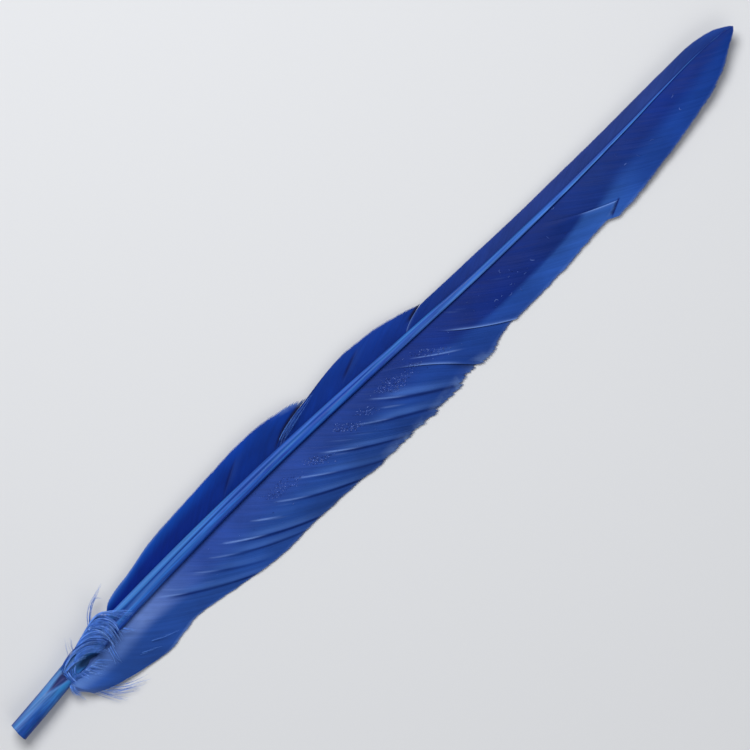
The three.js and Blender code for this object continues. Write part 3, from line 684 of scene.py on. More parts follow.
VEILS = [
    # The bundle along the narrow vane's side of the shaft.
    Veil(
        [(22.8, 4.4, 5.2), (30, 5.4, 5.6), (37, 7.2, 5.6), (41.6, 8.4, 5.6), (45.6, 7, 5.4)],
        [(24, 5.2, 4.4), (31, 6, 4.8), (38.4, 7.8, 5), (43.2, 8.6, 5.2), (47.6, 6.6, 5)],
        count=76, radius=0.055, wander=0.4, shortest=0.6, tint=(0.2, 0.85), late=0.3,
    ),
    # Thick strands that close the curl's body below.
    Veil(
        [(26, 4.8, 5.2), (31, 5, 5.7), (35, 4.4, 6), (37.6, 2.4, 6), (38.6, 0.2, 5.6)],
        [(35, 7.2, 4.8), (40.4, 8.7, 5.2), (44.2, 8.1, 5.7), (45.8, 5.2, 5.9), (45.8, 2.2, 5.7)],
        count=60, locks=60, radius=0.27, wander=0.15, shortest=0.9, tint=(0.2, 0.5), crimped=0,
    ),
    # The curl's silky body, which leaves it and bends over the shaft.
    Veil(
        [(24.5, 4.4, 5.7), (29, 5.4, 6.2), (33.5, 4.8, 6.6), (36.6, 2.8, 6.5), (38.2, 0.2, 6)],
        [(36.5, 7.2, 5.4), (40.2, 8.8, 5.9), (43.8, 7.8, 6.3), (45.4, 5, 6.3), (45.6, 2, 6)],
        count=225, locks=40, radius=0.065, wander=0.4, shortest=0.7, tint=(0.4, 0.95), crimped=0,
    ),
    # The dark band between the body and the pit.
    Veil(
        [
            (22.4, 3.2, 6), (25.5, 4.4, 6.4), (29, 5, 6.7),
            (33, 4.4, 6.9), (36.2, 1.8, 6.6), (38.4, -1.2, 5.2),
        ],
        [
            (22.6, 4.4, 5.7), (26, 5.6, 6.1), (30, 6.2, 6.5),
            (34.8, 5.2, 6.8), (37.8, 2.8, 6.7), (39.6, 0, 5.6),
        ],
        count=70, locks=12, radius=0.055, wander=0.5, shortest=0.6, tint=(0, 0.6), late=0.25,
    ),
    # Light crimped strands over that band, their pale tint partly a painted highlight.
    Veil(
        [(22.8, 3.4, 6.6), (26, 4.5, 7), (29.4, 5, 7.2), (33, 4.4, 7.3), (36.4, 2, 7)],
        [(23.4, 4.2, 6.2), (26.8, 5.3, 6.7), (30.6, 5.8, 7), (34.8, 4.8, 7.2), (38, 2.2, 7)],
        count=16, locks=9, radius=0.045, wander=0.5, shortest=0.4, tint=(0.7, 1.1), crimped=0.8,
        late=0.5,
    ),
    # Violet silk between them, down to the broad vane.
    Veil(
        [(26, 2.8, 6.6), (29.4, 3.2, 6.9), (32.4, 2.6, 6.9), (34.8, 0.8, 6.4), (36, -1.6, 5)],
        [(30, 4.8, 6.8), (33, 4.6, 7), (35.6, 3, 7), (37.4, 0.6, 6.4), (38.2, -2.2, 5)],
        count=80, locks=14, radius=0.055, wander=0.4, shortest=0.6, tint=(0.3, 0.9), crimped=0,
    ),
    # Pale strands along the pit's upper side.
    Veil(
        [(22.4, 3, 6.4), (24.6, 3.5, 6.8), (27.2, 3.4, 7), (30, 2.7, 7), (32, 1.7, 6.8)],
        [(22.8, 2.2, 6.4), (25, 2.9, 6.8), (27.6, 2.9, 6.9), (30, 2.3, 6.9), (31.8, 1.3, 6.7)],
        count=30, locks=10, radius=0.06, wander=0.5, shortest=0.4, tint=(0.5, 1), late=0.3,
    ),
    # The bundle that bends down over the shaft where the tongue ends.
    Veil(
        [(21.8, 3.4, 6.3), (22.4, 1.4, 6.4), (22.2, -0.8, 5.3), (22.4, -3.6, 4.5)],
        [(28.2, 2.4, 6.8), (26, 1, 6.3), (26, -0.8, 5.2), (27, -3, 4.4)],
        count=76, locks=16, radius=0.06, wander=0.6, shortest=0.5, tint=(0.25, 1), late=0.35,
    ),
    # Over the shaft between the pit and the broad vane.
    Veil(
        [(22.2, 0.8, 6.1), (24.4, 0.2, 5.9), (27, -0.4, 5.4), (30, -1, 5)],
        [(21.8, -0.8, 5), (24.4, -1.4, 4.9), (27.4, -1.8, 4.7), (31, -2.2, 4.6)],
        count=60, locks=14, radius=0.05, wander=0.6, shortest=0.4, tint=(0.2, 0.9), late=0.3,
    ),
    # Nearly black strands under the bright strands that cross the groove: painted shade between them.
    Veil(
        [(39.4, 2.4, 6.1), (39.4, 0.4, 5.9), (39.3, -1.2, 4.9)],
        [(44.6, 2.2, 5.9), (44.6, 0.2, 5.7), (44.4, -1.2, 4.7)],
        count=34, radius=0.07, wander=0.3, shortest=0.6, tint=(0, 0.05), crimped=0,
    ),
    # The bright strands themselves, strongly crimped.
    Veil(
        [(37.4, 7, 6.8), (39.2, 4.4, 7), (39.5, 1.2, 6.6), (39, -2.6, 4.9)],
        [(43.4, 7.2, 6.9), (45, 4.4, 6.9), (44.9, 1, 6.4), (44, -2.8, 4.7)],
        count=38, locks=19, radius=0.06, wander=0.5, shortest=0.7, tint=(0.7, 1.1), crimped=1, late=0.5,
    ),
    # Light strands round the outside of the bend.
    Veil(
        [
            (34.5, 6.6, 5.6), (38, 8, 6.2), (41, 8.6, 6.5),
            (43.4, 8.3, 6.7), (45.6, 6.8, 6.7), (47.4, 4.6, 6.4),
        ],
        [
            (36, 7, 5.4), (39, 8.6, 5.9), (42, 9.1, 6.1),
            (44.6, 8.4, 6.4), (46.6, 6.6, 6.4), (48.6, 3.8, 6.1),
        ],
        count=50, locks=14, radius=0.07, wander=0.35, shortest=0.5, tint=(0.75, 1.1), late=0.35,
    ),
    # A short bright tuft on the body.
    Veil(
        [(37.8, 7.6, 6.6), (38.6, 7.7, 6.8), (39.6, 7.3, 6.9)],
        [(38, 6.9, 6.7), (38.9, 7, 6.9), (39.9, 6.6, 7)],
        count=8, locks=5, radius=0.09, wander=0.15, shortest=0.5, tint=(0.9, 1), crimped=0,
    ),
    # Strands off the bend towards the tip, over the groove.
    Veil(
        [(43.6, 7.8, 6.7), (45.4, 6, 6.8), (46.4, 3.6, 6.6), (47.4, 1.2, 5.8)],
        [(46.4, 7, 6.3), (48.6, 5, 6.4), (50.6, 2.6, 6.2), (52.6, 0.4, 5.6)],
        count=44, locks=11, radius=0.06, wander=0.6, shortest=0.4, tint=(0.3, 1),
    ),
    # Long tips that hang down the broad vane.
    Veil(
        [(37.8, -1, 5.3), (36.8, -4, 4.3), (36.3, -6, 3.8), (37, -8.6, 3.3)],
        [(40.2, -1.2, 5.2), (39.4, -3.2, 4.6), (39.2, -5, 4.1), (38.6, -6.6, 3.7)],
        count=12, locks=6, radius=0.055, wander=0.5, shortest=0.6, tint=(0.7, 1),
    ),
    # The veil over the broad vane's first barbs.
    Veil(
        [(22.2, 0.2, 5.4), (21.8, -1.6, 4.8), (21.6, -3.4, 4.4), (22, -5.2, 3.9)],
        [(33.4, -1.4, 5), (34.8, -2.8, 4.6), (36, -4.4, 4), (37, -6, 3.6)],
        count=106, locks=40, radius=0.042, wander=0.7, shortest=0.3, tint=(0.5, 1.1),
    ),
    # The fuzzy edge of those barbs.
    Veil(
        [(21.6, -0.6, 4.9), (20.8, -2.2, 4.4), (20.6, -4, 3.8), (21.2, -5.6, 3.1)],
        [(23, -0.9, 5), (22.4, -2.4, 4.7), (22.3, -4, 4.2), (22.9, -5.6, 3.6)],
        count=50, locks=14, radius=0.045, wander=0.6, shortest=0.5, tint=(0.6, 1.1),
    ),
    # A few light strands that lie loose on the broad vane.
    Veil(
        [(27.6, -2.2, 4.7), (29.4, -4, 4.3), (31, -6, 3.7), (30.9, -7.8, 3.1)],
        [(28.6, -2.2, 4.7), (30.2, -4, 4.2), (31.4, -6, 3.7), (31.2, -7.8, 3.1)],
        count=3, radius=0.055, wander=0.5, shortest=0.85, tint=(0.9, 1),
    ),
    Veil(
        [(44.6, 0.4, 5.2), (45.6, -1.6, 4.4), (46.8, -3.4, 4)],
        [(46, 0, 5), (47.2, -1.8, 4.3), (48.4, -3.4, 4)],
        count=8, radius=0.06, wander=0.4, shortest=0.5, tint=(0.6, 1),
    ),
]
# Single strands and wisps that stand off.
WISPS = [
    Veil(
        [(37.6, 7.6, 5.8), (40.4, 10.8, 6), (43.8, 13.2, 5.4), (47.4, 14.4, 4.6), (52, 15.6, 4)],
        [(39.6, 8.2, 5.6), (42.6, 10.6, 5.6), (45.4, 12.2, 5.2), (48, 13.4, 4.4), (50.4, 14.6, 4)],
        count=18, radius=0.04, wander=0.4, shortest=0.5, tint=(0.4, 1),
    ),
    Veil(
        [(43, 12.4, 5.6), (46.2, 13.2, 5.2), (48.6, 11.8, 4.8)],
        [(43, 11.6, 5.6), (45.6, 12.4, 5.2), (47, 10.8, 4.8)],
        count=6, radius=0.035, wander=0.3, shortest=0.6, tint=(0.5, 1),
    ),
    Veil(
        [(26, 5.2, 5), (28.4, 8.2, 5.4), (30.6, 11, 5), (32.4, 13, 4.6)],
        [(29.6, 5.4, 5), (30.6, 7.6, 5.4), (31.8, 10, 5), (34, 12.6, 4.6)],
        count=12, radius=0.03, wander=0.5, shortest=0.4, tint=(0.2, 0.8),
    ),
    Veil(
        [(21.4, 0.2, 4.2), (20.3, -2.4, 4), (19.8, -6.4, 3)],
        [(22.6, -1, 3.8), (22, -4.4, 3.4), (22.4, -8.4, 2.6)],
        count=22, locks=12, radius=0.035, wander=0.5, shortest=0.4, tint=(0.6, 1.1),
    ),
    Veil(
        [(23, -2.6, 3.2), (24.2, -6.6, 2.6), (26.8, -12.4, 2), (29.8, -17.4, 1.4)],
        [(25, -5.2, 3), (27.4, -10, 2.4), (29.6, -14, 1.8), (32, -18, 1.4)],
        count=16, locks=12, radius=0.035, wander=0.6, shortest=0.5, tint=(0.2, 0.9),
    ),
    Veil(
        [(25, -7, 2.8), (29, -12, 2.2), (32.6, -15.2, 1.6), (36.2, -17.4, 1.2)],
        [(29, -8, 2.8), (34, -12.6, 2.2), (38.6, -14.9, 1.6), (42.6, -16.2, 1.2)],
        count=40, locks=24, radius=0.035, wander=0.7, shortest=0.4, tint=(0.4, 1), late=0.4,
    ),
    # Light strands on the broad vane near its edge.
    Veil(
        [(44, -9.4, 2.5), (47.2, -10.9, 2.3), (50.4, -12.2, 2.1)],
        [(51, -8.6, 2.4), (55.2, -10.7, 2.2), (60, -12.5, 2)],
        count=8, locks=3, radius=0.045, wander=0.3, shortest=0.6, tint=(0.4, 0.8),
    ),
    # Barbs that have come loose at the narrow vane's first split; their darkest tints are painted shade
    # between them.
    Veil(
        [(120.4, 7.5, 3.1), (124, 8.8, 3.5), (129, 9.9, 3.8), (137.6, 10.9, 3.8)],
        [(120.8, 6.3, 2.9), (126.2, 7.4, 3.2), (131.6, 8.6, 3.5), (139.4, 10.5, 3.7)],
        count=26, locks=16, radius=0.045, wander=0.25, shortest=0.6, tint=(0, 0.8), late=0.5,
    ),
]
LOCK, FEWEST_LOCKS = 6, 2  # strands in a lock, unless a veil says how many locks it has
LOCK_SPREAD = 0.3
OWN_WAY = 0.25  # how far a strand leaves its lock
PLACE_LIMITS = (-0.05, 1.05)  # how far strands go past the guides
STRAND_POINTS = 24
DRIFT, DRIFT_POWER = (0.8, 0.8, 0.4), 1.5  # how far strands part towards their tips
WAVE, WAVE_RADIANS = 0.35, (3, 9)  # how far and how often they wave
ROOT_SPREAD = (0.3, 0.3, 0.15)  # how far their roots scatter
CRIMPS = 9  # along the crimped strands
CRIMP, CRIMP_FROM = np.array([0.07, 0.021, 0.021]), (0.1, 0.5)  # how far they zigzag, and where it comes in
STRAND_TIP = 0.3  # a strand's radius there as a share of its root's
STRAND_WIDTHS = (0.7, 1.3)  # their radii as shares of their veil's


def curve_through(points, count):
    """A smooth curve through a list of points, by Catmull-Rom."""
    points = np.array(points, float)
    ends = np.concatenate([[2 * points[0] - points[1]], points, [2 * points[-1] - points[-2]]])
    place = np.linspace(0, len(points) - 1, count)
    i = np.minimum(place.astype(int), len(points) - 2)
    f = (place - i)[:, None]
    a, b, c, d = (ends[i + k] for k in range(4))
    square = 2 * a - 5 * b + 4 * c - d
    cube = 3 * b - a - 3 * c + d
    return 0.5 * (2 * b + (c - a) * f + square * f**2 + cube * f**3)


def tubes(lines, radii):
    """Closed tubes round many lines at once: points and faces."""
    count, length = lines.shape[:2]
    ahead = np.gradient(lines, axis=1)
    ahead /= np.linalg.norm(ahead, axis=-1, keepdims=True)
    across = np.cross(ahead, (0.05, 0.1, 1))  # no strand runs this way
    across /= np.linalg.norm(across, axis=-1, keepdims=True)
    up = np.cross(ahead, across)
    angle = np.arange(TUBE_SIDES)[:, None] * 2 * math.pi / TUBE_SIDES
    turn = across[:, :, None] * np.cos(angle) + up[:, :, None] * np.sin(angle)
    return lines[:, :, None] + turn * radii[..., None, None], tube_faces(count, length)


def strands_of(veil, rng):
    """The lines, radii and tints of a veil's strands, which cling together in locks."""
    count = veil.count
    lock_count = veil.locks or max(FEWEST_LOCKS, count // LOCK)
    first, last = (curve_through(points, STRAND_POINTS) for points in (veil.first, veil.last))
    f = np.linspace(0, 1, STRAND_POINTS)
    lock = rng.integers(0, lock_count, count)
    heart = (np.arange(lock_count) + rng.uniform(0, 1, lock_count)) / lock_count
    place = heart[lock] + LOCK_SPREAD / lock_count * rng.normal(0, 1, count)
    begin = rng.uniform(0, veil.late, count)
    reach = rng.uniform(veil.shortest, 1, count)
    lines = np.empty((count, STRAND_POINTS, 3))
    for i in range(count):
        guide = lerp(first, last, np.clip(place[i], *PLACE_LIMITS))
        for k in range(3):
            lines[i, :, k] = np.interp(lerp(begin[i], reach[i], f), f, guide[:, k])

    def for_each(low, high):
        """Random numbers for each strand, mostly shared by its lock."""
        shared = rng.uniform(low, high, (lock_count, 1, 3))[lock]
        return lerp(shared, rng.uniform(low, high, (count, 1, 3)), OWN_WAY)

    column = f[:, None]
    drift = for_each(-1, 1) * column**DRIFT_POWER * DRIFT
    phase = for_each(0, 2 * math.pi)
    wave = WAVE * np.sin(phase + column * for_each(*WAVE_RADIANS)) * column
    root = for_each(-1, 1) * ROOT_SPREAD
    lines += veil.wander * (drift + wave + root)
    crimped = rng.uniform(0, 1, (count, 1, 1)) < veil.crimped
    crimped = crimped * smoothstep(column, *CRIMP_FROM)
    lines += CRIMP * crimped * np.sin(phase + 2 * math.pi * CRIMPS * column)
    radii = veil.radius * lerp(1, STRAND_TIP, f)[None, :] * rng.uniform(*STRAND_WIDTHS, (count, 1))
    tint = lerp(rng.uniform(0, 1, lock_count)[lock], rng.uniform(0, 1, count), OWN_WAY)
    return lines, radii, lerp(*veil.tint, tint)


def make_down(name, veils, seed, material):
    """One piece of down, with each strand's tint and how far along it each point is."""
    rng = np.random.default_rng(seed)
    strands = [strands_of(veil, rng) for veil in veils]
    lines, radii, tints = (np.concatenate(parts) for parts in zip(*strands))
    points, faces = tubes(lines, radii)
    numbers = {
        "barb": np.broadcast_to(tints[:, None, None], points.shape[:3]),
        "reach": np.broadcast_to(np.linspace(0, 1, STRAND_POINTS)[:, None], points.shape[:3]),
    }
    make_mesh(name, points, faces.tolist(), numbers, material)


# Flecks, where barbules of the broad vane have come loose: rows of where along the shaft their
# barbs start, from and to, the shares of the barbs, from and to, how many there are, the shortest
# and the longest.
FLECKS = [
    (99, 109, 0.18, 0.34, 130, 0.2, 0.55),
    (113.5, 117.5, 0.24, 0.4, 130, 0.2, 0.55),
    (129.5, 133.5, 0.18, 0.38, 170, 0.2, 0.55),
    (137, 140.5, 0.24, 0.38, 70, 0.2, 0.55),
    (146.5, 152, 0.22, 0.42, 200, 0.2, 0.55),
    (150, 157, 0.34, 0.44, 90, 0.2, 0.55),
    (162, 166.5, 0.2, 0.48, 80, 0.2, 0.55),
    (60, 200, 0.1, 0.6, 60, 0.2, 0.55),
    (176, 216, 0.25, 0.65, 18, 0.3, 1.6),
    (224, 290, 0.1, 0.7, 9, 0.3, 1.6),
]
FLECK_SHAPE = np.array([0.4, 0.9, 1, 0.8, 0.3])  # its radius at points from end to end
FLECK_RADIUS, FLECK_WIDTHS = 0.065, (0.6, 1.2)
FLECK_SPREAD = 0.125  # how far they scatter past their shares, as a share of that span
FLECK_BEND = 1.5
FLECK_HEIGHT, FLECK_ARCH = 0.1, 0.12  # how far they stand off the barbs


def make_flecks(material):
    """Short curled slivers that stand just off the broad vane."""
    rng = np.random.default_rng(SEEDS["flecks"])
    f = np.linspace(-0.5, 0.5, len(FLECK_SHAPE))
    lines = []
    for first, last, low, high, count, shortest, longest in FLECKS:
        roots = rng.uniform(first, last, count)
        shares = rng.uniform(low, high, count) + FLECK_SPREAD * (high - low) * rng.normal(0, 1, count)
        for stretch in INNER_STRETCHES:
            inside = (roots > stretch["barbs"][0][0]) & (roots < stretch["barbs"][-1][0])
            if not inside.any():
                continue
            places, _ = sheet_of(-1, stretch, roots[inside], shares[inside, None])
            turn = rng.uniform(0, 2 * math.pi, (inside.sum(), 1))
            length = rng.uniform(shortest, longest, turn.shape)
            bend = length * f**2 * rng.uniform(-FLECK_BEND, FLECK_BEND, turn.shape)
            along = length * f
            lines.append(places + np.stack([
                along * np.cos(turn) - bend * np.sin(turn),
                along * np.sin(turn) + bend * np.cos(turn),
                FLECK_HEIGHT + FLECK_ARCH * rng.uniform(0, 1, turn.shape) * np.cos(math.pi * f),
            ], -1))
    lines = np.concatenate(lines)
    points, faces = tubes(lines, FLECK_RADIUS * FLECK_SHAPE * rng.uniform(*FLECK_WIDTHS, (len(lines), 1)))
    tints = rng.uniform(0, 1, len(lines))[:, None, None]
    numbers = {"barb": np.broadcast_to(tints, points.shape[:3])}
    make_mesh("vane_flecks", points, faces.tolist(), numbers, material)


# ---- Small tools for materials ----


def colour(red, green, blue):
    """A colour as it looks on a screen, from 0 to 255, as the light that it stands for."""
    def light(value):
        value /= 255
        return value / 12.92 if value <= 0.04045 else ((value + 0.055) / 1.055) ** 2.4
    return (light(red), light(green), light(blue), 1)


class Nodes:
    """A material, with tools that add nodes to it. A name as a value stands for the mesh's number."""

    def __init__(self, name):
        self.material = bpy.data.materials.new(name)
        self.material.use_nodes = True
        self.tree = self.material.node_tree
        self.shader = self.tree.nodes["Principled BSDF"]

    def add(self, kind, **inputs):
        node = self.tree.nodes.new(kind)
        for key, value in inputs.items():
            self.put(node.inputs[key.replace("_", " ")], value)
        return node

    def put(self, socket, value):
        if isinstance(value, str):
            node = self.tree.nodes.new("ShaderNodeAttribute")
            node.attribute_name = value
            value = node.outputs["Fac"]
        if isinstance(value, bpy.types.NodeSocket):
            self.tree.links.new(value, socket)
        else:
            socket.default_value = value

    def times(self, value, *others):
        for other in others:
            node = self.tree.nodes.new("ShaderNodeMath")
            node.operation = "MULTIPLY"
            self.put(node.inputs[0], value)
            self.put(node.inputs[1], other)
            value = node.outputs[0]
        return value

    def mix(self, factor, first, second, blend="MIX"):
        node = self.tree.nodes.new("ShaderNodeMix")
        node.data_type = "RGBA"
        node.blend_type = blend
        sockets = (node.inputs[0], node.inputs[6], node.inputs[7])
        for socket, value in zip(sockets, (factor, first, second)):
            self.put(socket, value)
        return node.outputs[2]

    def layers(self, base, *rows):
        """A colour with others laid over it, each row a factor and the layer's red, green and blue."""
        for factor, *shade in rows:
            base = self.mix(factor, base, colour(*shade))
        return base

    def ramp(self, factor, stops):
        """Colours along a number, each stop its place and its red, green and blue."""
        node = self.add("ShaderNodeValToRGB", Fac=factor)
        elements = node.color_ramp.elements
        while len(elements) < len(stops):
            elements.new(0.5)
        for element, (place, *shade) in zip(elements, stops):
            element.position = place
            element.color = colour(*shade)
        return node.outputs["Color"]

    def remap(self, value, from_low, from_high, to_low=0.0, to_high=1.0):
        node = self.tree.nodes.new("ShaderNodeMapRange")
        for socket, number in zip(node.inputs, (value, from_low, from_high, to_low, to_high)):
            self.put(socket, number)
        return node.outputs[0]

    def shade(self, base, factor):
        """A colour made lighter or darker by a number."""
        grey = self.add("ShaderNodeCombineColor", Red=factor, Green=factor, Blue=factor).outputs[0]
        return self.mix(1.0, base, grey, "MULTIPLY")

    def noise(self, scale, detail=2.0, stretch=(1, 1, 1)):
        place = self.add("ShaderNodeTexCoord").outputs["Object"]
        scaled = self.add("ShaderNodeMapping", Vector=place, Scale=stretch).outputs[0]
        return self.add("ShaderNodeTexNoise", Vector=scaled, Scale=scale, Detail=detail).outputs["Fac"]

    def streaks(self):
        """Noise that runs along the barbs, about STREAK_EVERY mm from streak to streak."""
        across = self.times("root", LENGTH / STREAK_EVERY)
        place = self.add("ShaderNodeCombineXYZ", X=across, Y=self.times("reach", STREAK_CHANGES)).outputs[0]
        return self.add("ShaderNodeTexNoise", Vector=place, Scale=1.0, Detail=3.0).outputs["Fac"]

    def relief(self, height, strength, depth):
        """Relief too fine for the mesh, so many millimetres deep."""
        node = self.add("ShaderNodeBump", Strength=strength, Distance=depth * MM, Height=height)
        self.put(self.shader.inputs["Normal"], node.outputs[0])

    def surface(self, base, roughness, specular=0.5):
        self.put(self.shader.inputs["Base Color"], base)
        self.put(self.shader.inputs["Roughness"], roughness)
        self.put(self.shader.inputs["Specular IOR Level"], specular)


# ---- Materials ----

STREAK_EVERY, STREAK_CHANGES = 1.5, 2  # mm across the barbs, and how often a streak changes along them

# The painted shade in each vane's furrows.
BROAD_FURROW_SHADE, NARROW_FURROW_SHADE = (6, 38, 112), (0, 14, 74)
# Each vane's colours along the feather, beside the shaft and out towards its edge: rows of the
# share of the feather's length, red, green, blue. The broad vane's light stops beside the shaft, up
# to 0.19, are a painted sheen.
NEAR_SHAFT = [
    (0.06, 70, 108, 176), (0.1, 70, 106, 176), (0.14, 76, 108, 176), (0.165, 90, 118, 182),
    (0.19, 82, 110, 178), (0.21, 64, 94, 168), (0.25, 41, 73, 156), (0.4, 33, 64, 142),
    (0.55, 13, 45, 124), (0.65, 6, 36, 114), (0.8, 12, 46, 122), (0.9, 2, 38, 120), (1, 0, 42, 124),
]
OUT_ON_VANE = [
    (0.08, 36, 76, 154), (0.17, 31, 70, 147), (0.26, 31, 71, 148), (0.45, 26, 65, 142),
    (0.58, 22, 60, 140), (0.66, 28, 68, 148), (0.78, 40, 82, 158), (0.84, 24, 64, 146),
    (0.95, 16, 58, 142), (1, 4, 48, 132),
]
NARROW_NEAR = [
    (0.13, 0, 32, 124), (0.25, 0, 34, 122), (0.38, 2, 44, 128), (0.55, 6, 44, 128), (0.7, 33, 57, 130),
    (0.9, 38, 61, 131), (1, 4, 48, 130),
]
NARROW_OUT = [
    (0.13, 26, 88, 176), (0.2, 12, 80, 182), (0.33, 2, 60, 162), (0.45, 2, 54, 148), (0.6, 8, 52, 140),
    (0.75, 36, 57, 131), (0.9, 38, 59, 131), (1, 26, 64, 146),
]


def vane_material(name, near, out, furrow_shade, painted_sheen, margin_from):
    """Dyed barbs: navy beside the shaft, royal blue outside, pale at the edge; painted shade in furrows and
    gaps, painted sheen and highlights on pleats.
    """
    nodes = Nodes(name)
    # Painted shadow that the flap's short edge throws on the stretch under it.
    flap_shadow = nodes.times(
        nodes.remap("beyond_flap", -0.6, -0.15),
        nodes.remap("beyond_flap", 0.35, 0.0),
        nodes.times(nodes.remap("along_flap", -0.15, 0.1), nodes.remap("along_flap", 1.08, 0.95)),
    )
    margin_from = nodes.remap("along", 0.165, 0.28, margin_from, 0.93)
    pale = nodes.remap("along", 0.2, 0.32, 0.75, 0.3)
    ragged = nodes.times(nodes.remap("reach", 0.84, 1.0), "fringe")
    patchy = nodes.remap(nodes.noise(190, 3), 0.46, 0.6, 0.15, 0.85)
    # A painted contact shadow along the shaft's edge, fading out towards the tip.
    contact_shadow = nodes.times(nodes.remap("clear", 0, 0.35, 0.5, 0), nodes.remap("along", 0.5, 0.7, 1, 0))
    # Laid over the vane's colours: a painted sheen band, painted furrow shade, painted highlights on crests
    # and rims, painted shadow in the splits and under the flap's edge, the pale edge, the ragged fringe,
    # and a painted contact shadow beside the shaft.
    base = nodes.layers(
        nodes.mix("zone", nodes.ramp("along", near), nodes.ramp("along", out)),
        (nodes.remap("painted_sheen", 0, 0.6, 0, painted_sheen), 64, 104, 180),
        (nodes.remap("furrow_shade", 0, 0.6, 0, 0.85), *furrow_shade),
        (nodes.remap("crest_highlight", 0, 1, 0, 0.7), 116, 150, 218),
        (nodes.remap("gap_shadow", 0.1, 0.9, 0, 0.95), 3, 10, 52),
        (flap_shadow, 10, 30, 100),
        (nodes.times(nodes.remap("reach", margin_from, 0.99), pale), 98, 130, 192),
        (nodes.times(ragged, patchy), 104, 134, 190),
        (contact_shadow, 8, 30, 100),
    )
    patches = nodes.remap(nodes.noise(70, 3), 0.3, 0.7, 0.86, 1.14)
    barbs = nodes.remap("barb", 0, 1, 0.95, 1.05)
    streaks = nodes.remap(nodes.streaks(), 0.3, 0.7, 0.92, 1.08)
    base = nodes.shade(base, nodes.times(patches, "tone", barbs, streaks))
    nodes.surface(base, nodes.remap(nodes.streaks(), 0.3, 0.7, 0.44, 0.58), 0.1)
    nodes.relief(nodes.noise(5200, 2), 0.25, 0.04)
    return nodes.material


# The shaft's colours from the broad vane's side to the narrow vane's: at the quill, beside the
# tongue, along the grooved part, in the middle and towards the tip. The quill's pale band near 0.78
# and the lighter narrow vane's side further on are painted highlights, the light broad vane's side
# towards the tip is painted light, and the dark stops near 0.62 are painted shade in the groove.
ACROSS_QUILL = [
    (0, 10, 50, 120), (0.2, 6, 60, 144), (0.45, 28, 82, 162), (0.62, 66, 112, 180),
    (0.78, 94, 134, 196), (0.88, 68, 106, 172), (1, 40, 62, 130),
]
ACROSS_TONGUE = [
    (0, 22, 54, 116), (0.12, 46, 108, 186), (0.25, 48, 116, 194), (0.4, 54, 108, 176),
    (0.55, 70, 118, 186), (0.75, 84, 126, 186), (0.9, 80, 130, 190), (1, 60, 98, 160),
]
ACROSS_NEAR = [
    (0, 10, 56, 150), (0.12, 26, 76, 166), (0.25, 31, 90, 178), (0.4, 44, 108, 194),
    (0.56, 38, 102, 190), (0.62, 4, 44, 132), (0.68, 34, 92, 180), (0.88, 65, 123, 196),
    (1, 66, 110, 186),
]
ACROSS_MIDDLE = [
    (0, 11, 57, 160), (0.12, 26, 76, 172), (0.25, 27, 73, 168), (0.4, 24, 68, 164), (0.57, 24, 72, 168),
    (0.63, 4, 42, 138), (0.69, 36, 86, 178), (0.88, 52, 100, 188), (1, 44, 78, 162),
]
ACROSS_FAR = [
    (0, 92, 150, 238), (0.12, 92, 148, 236), (0.25, 80, 134, 218), (0.4, 50, 102, 190),
    (0.52, 38, 90, 182), (0.65, 33, 84, 176), (0.78, 32, 74, 162), (0.88, 28, 62, 144),
    (1, 18, 46, 120),
]
# The shares of the feather's length between which each gives way to the next.
ALONG_SHAFT = (
    (0.025, 0.05, ACROSS_TONGUE),
    (0.1, 0.13, ACROSS_NEAR),
    (0.27, 0.33, ACROSS_MIDDLE),
    (0.5, 0.62, ACROSS_FAR),
)


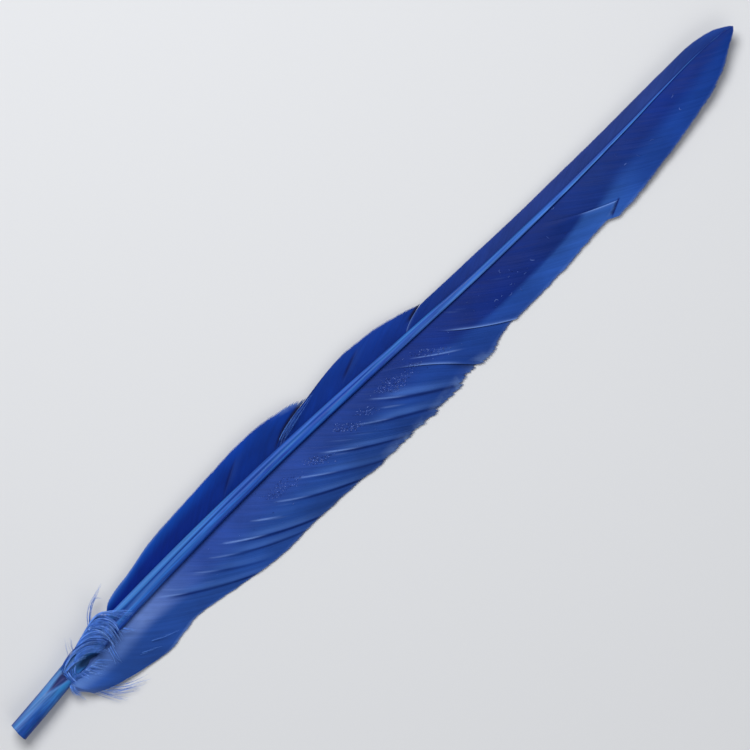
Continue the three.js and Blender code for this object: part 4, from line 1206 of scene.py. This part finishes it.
def shaft_material():
    """Glossy dyed keratin, streaked lengthways, with painted highlights on its sides and painted shade in
    the groove, the wedge, the pit and inside the hollow.
    """
    nodes = Nodes("shaft")
    across = nodes.remap("share", -1, 1)
    base = nodes.ramp(across, ACROSS_QUILL)
    for low, high, stops in ALONG_SHAFT:
        base = nodes.mix(nodes.remap("along", low, high), base, nodes.ramp(across, stops))
    base = nodes.layers(base, (nodes.remap("along", 0.92, 0.97), 24, 52, 130))
    streaks = nodes.noise(1800, 4, (0.015, 1, 1))
    base = nodes.shade(base, nodes.remap(streaks, 0.36, 0.64, 0.76, 1.22))
    broad_streaks = nodes.noise(800, 2, (0.03, 1, 1))
    dashes = nodes.remap(nodes.noise(1100, 2, (0.12, 1, 1)), 0.53, 0.66)
    stained = nodes.times(
        dashes, nodes.remap(across, 0.62, 0.42), nodes.remap("along", 0.2, 0.3, 0.1, 0.5)
    )
    base = nodes.layers(
        base,
        (nodes.remap(broad_streaks, 0.5, 0.68, 0, 0.5), 48, 122, 196),
        (nodes.remap(broad_streaks, 0.5, 0.34, 0, 0.4), 24, 66, 156),
        (stained, 30, 46, 142),
        (nodes.remap("tongue", 0, 1, 0, 0.6), 38, 124, 184),
        # Painted shade in the groove, in the wedge where the quill opens, in the pit under the down, and
        # inside the hollow.
        (nodes.remap("groove", 0.05, 0.5, 0, 0.7), 10, 46, 128),
        (nodes.remap("wedge", 0.1, 0.7, 0, 0.9), 34, 34, 96),
        (nodes.remap("pit", 0, 1.1, 0, 0.92), 14, 42, 78),
        (nodes.times("hollow", 0.8), 22, 44, 100),
    )
    nodes.surface(base, nodes.remap(streaks, 0.3, 0.7, 0.34, 0.52), 0.16)
    nodes.relief(streaks, 0.3, 0.05)
    return nodes.material


# The strands' colours, from dark to light.
DOWN_TINTS = [
    (0, 14, 40, 116), (0.3, 46, 92, 184), (0.65, 76, 124, 208), (0.85, 98, 148, 236), (1, 132, 178, 252),
]
# The darkest flecks are painted shadows of loose barbules; the others are the barbules' own colour.
FLECK_TINTS = [(0, 16, 36, 104), (0.3, 50, 76, 160), (0.6, 82, 112, 196), (1, 126, 156, 236)]


def strand_material(name, tints, grain, light):
    """Dyed strands of many tints, uneven along each. Down is paler at its tips; flecks have no reach."""
    nodes = Nodes(name)
    base = nodes.layers(nodes.ramp("barb", tints), (nodes.remap("reach", 0.6, 1, 0, 0.4), 120, 164, 240))
    base = nodes.shade(base, nodes.remap(nodes.noise(grain, 3), 0.35, 0.65, *light))
    nodes.surface(base, nodes.remap(nodes.noise(1600), 0.35, 0.65, 0.38, 0.54), 0.12)
    return nodes.material


# ---- The scene ----

make_camera()
for name, light in LIGHTS.items():
    make_light(name, *light)
make_world()
bpy.context.scene.view_settings.view_transform = "Standard"
make_floor()

make_shaft(shaft_material())
broad = vane_material("broad vane", NEAR_SHAFT, OUT_ON_VANE, BROAD_FURROW_SHADE, painted_sheen=0.6, margin_from=0.93)
narrow = vane_material("narrow vane", NARROW_NEAR, NARROW_OUT, NARROW_FURROW_SHADE, painted_sheen=0.1, margin_from=0.72)
for number, stretch in enumerate(INNER_STRETCHES):
    make_stretch(f"broad_vane_{number + 1}", -1, stretch, BROAD_POINTS, SEEDS["broad"] + number, broad)
for number, stretch in enumerate(OUTER_STRETCHES):
    make_stretch(f"narrow_vane_{number + 1}", 1, stretch, NARROW_POINTS, SEEDS["narrow"] + number, narrow)
make_flecks(strand_material("flecks", FLECK_TINTS, 900, (0.8, 1.2)))
down = strand_material("down", DOWN_TINTS, 700, (0.86, 1.14))
make_down("down_curl", VEILS, SEEDS["curl"], down)
make_down("down_wisps", WISPS, SEEDS["wisps"], down)
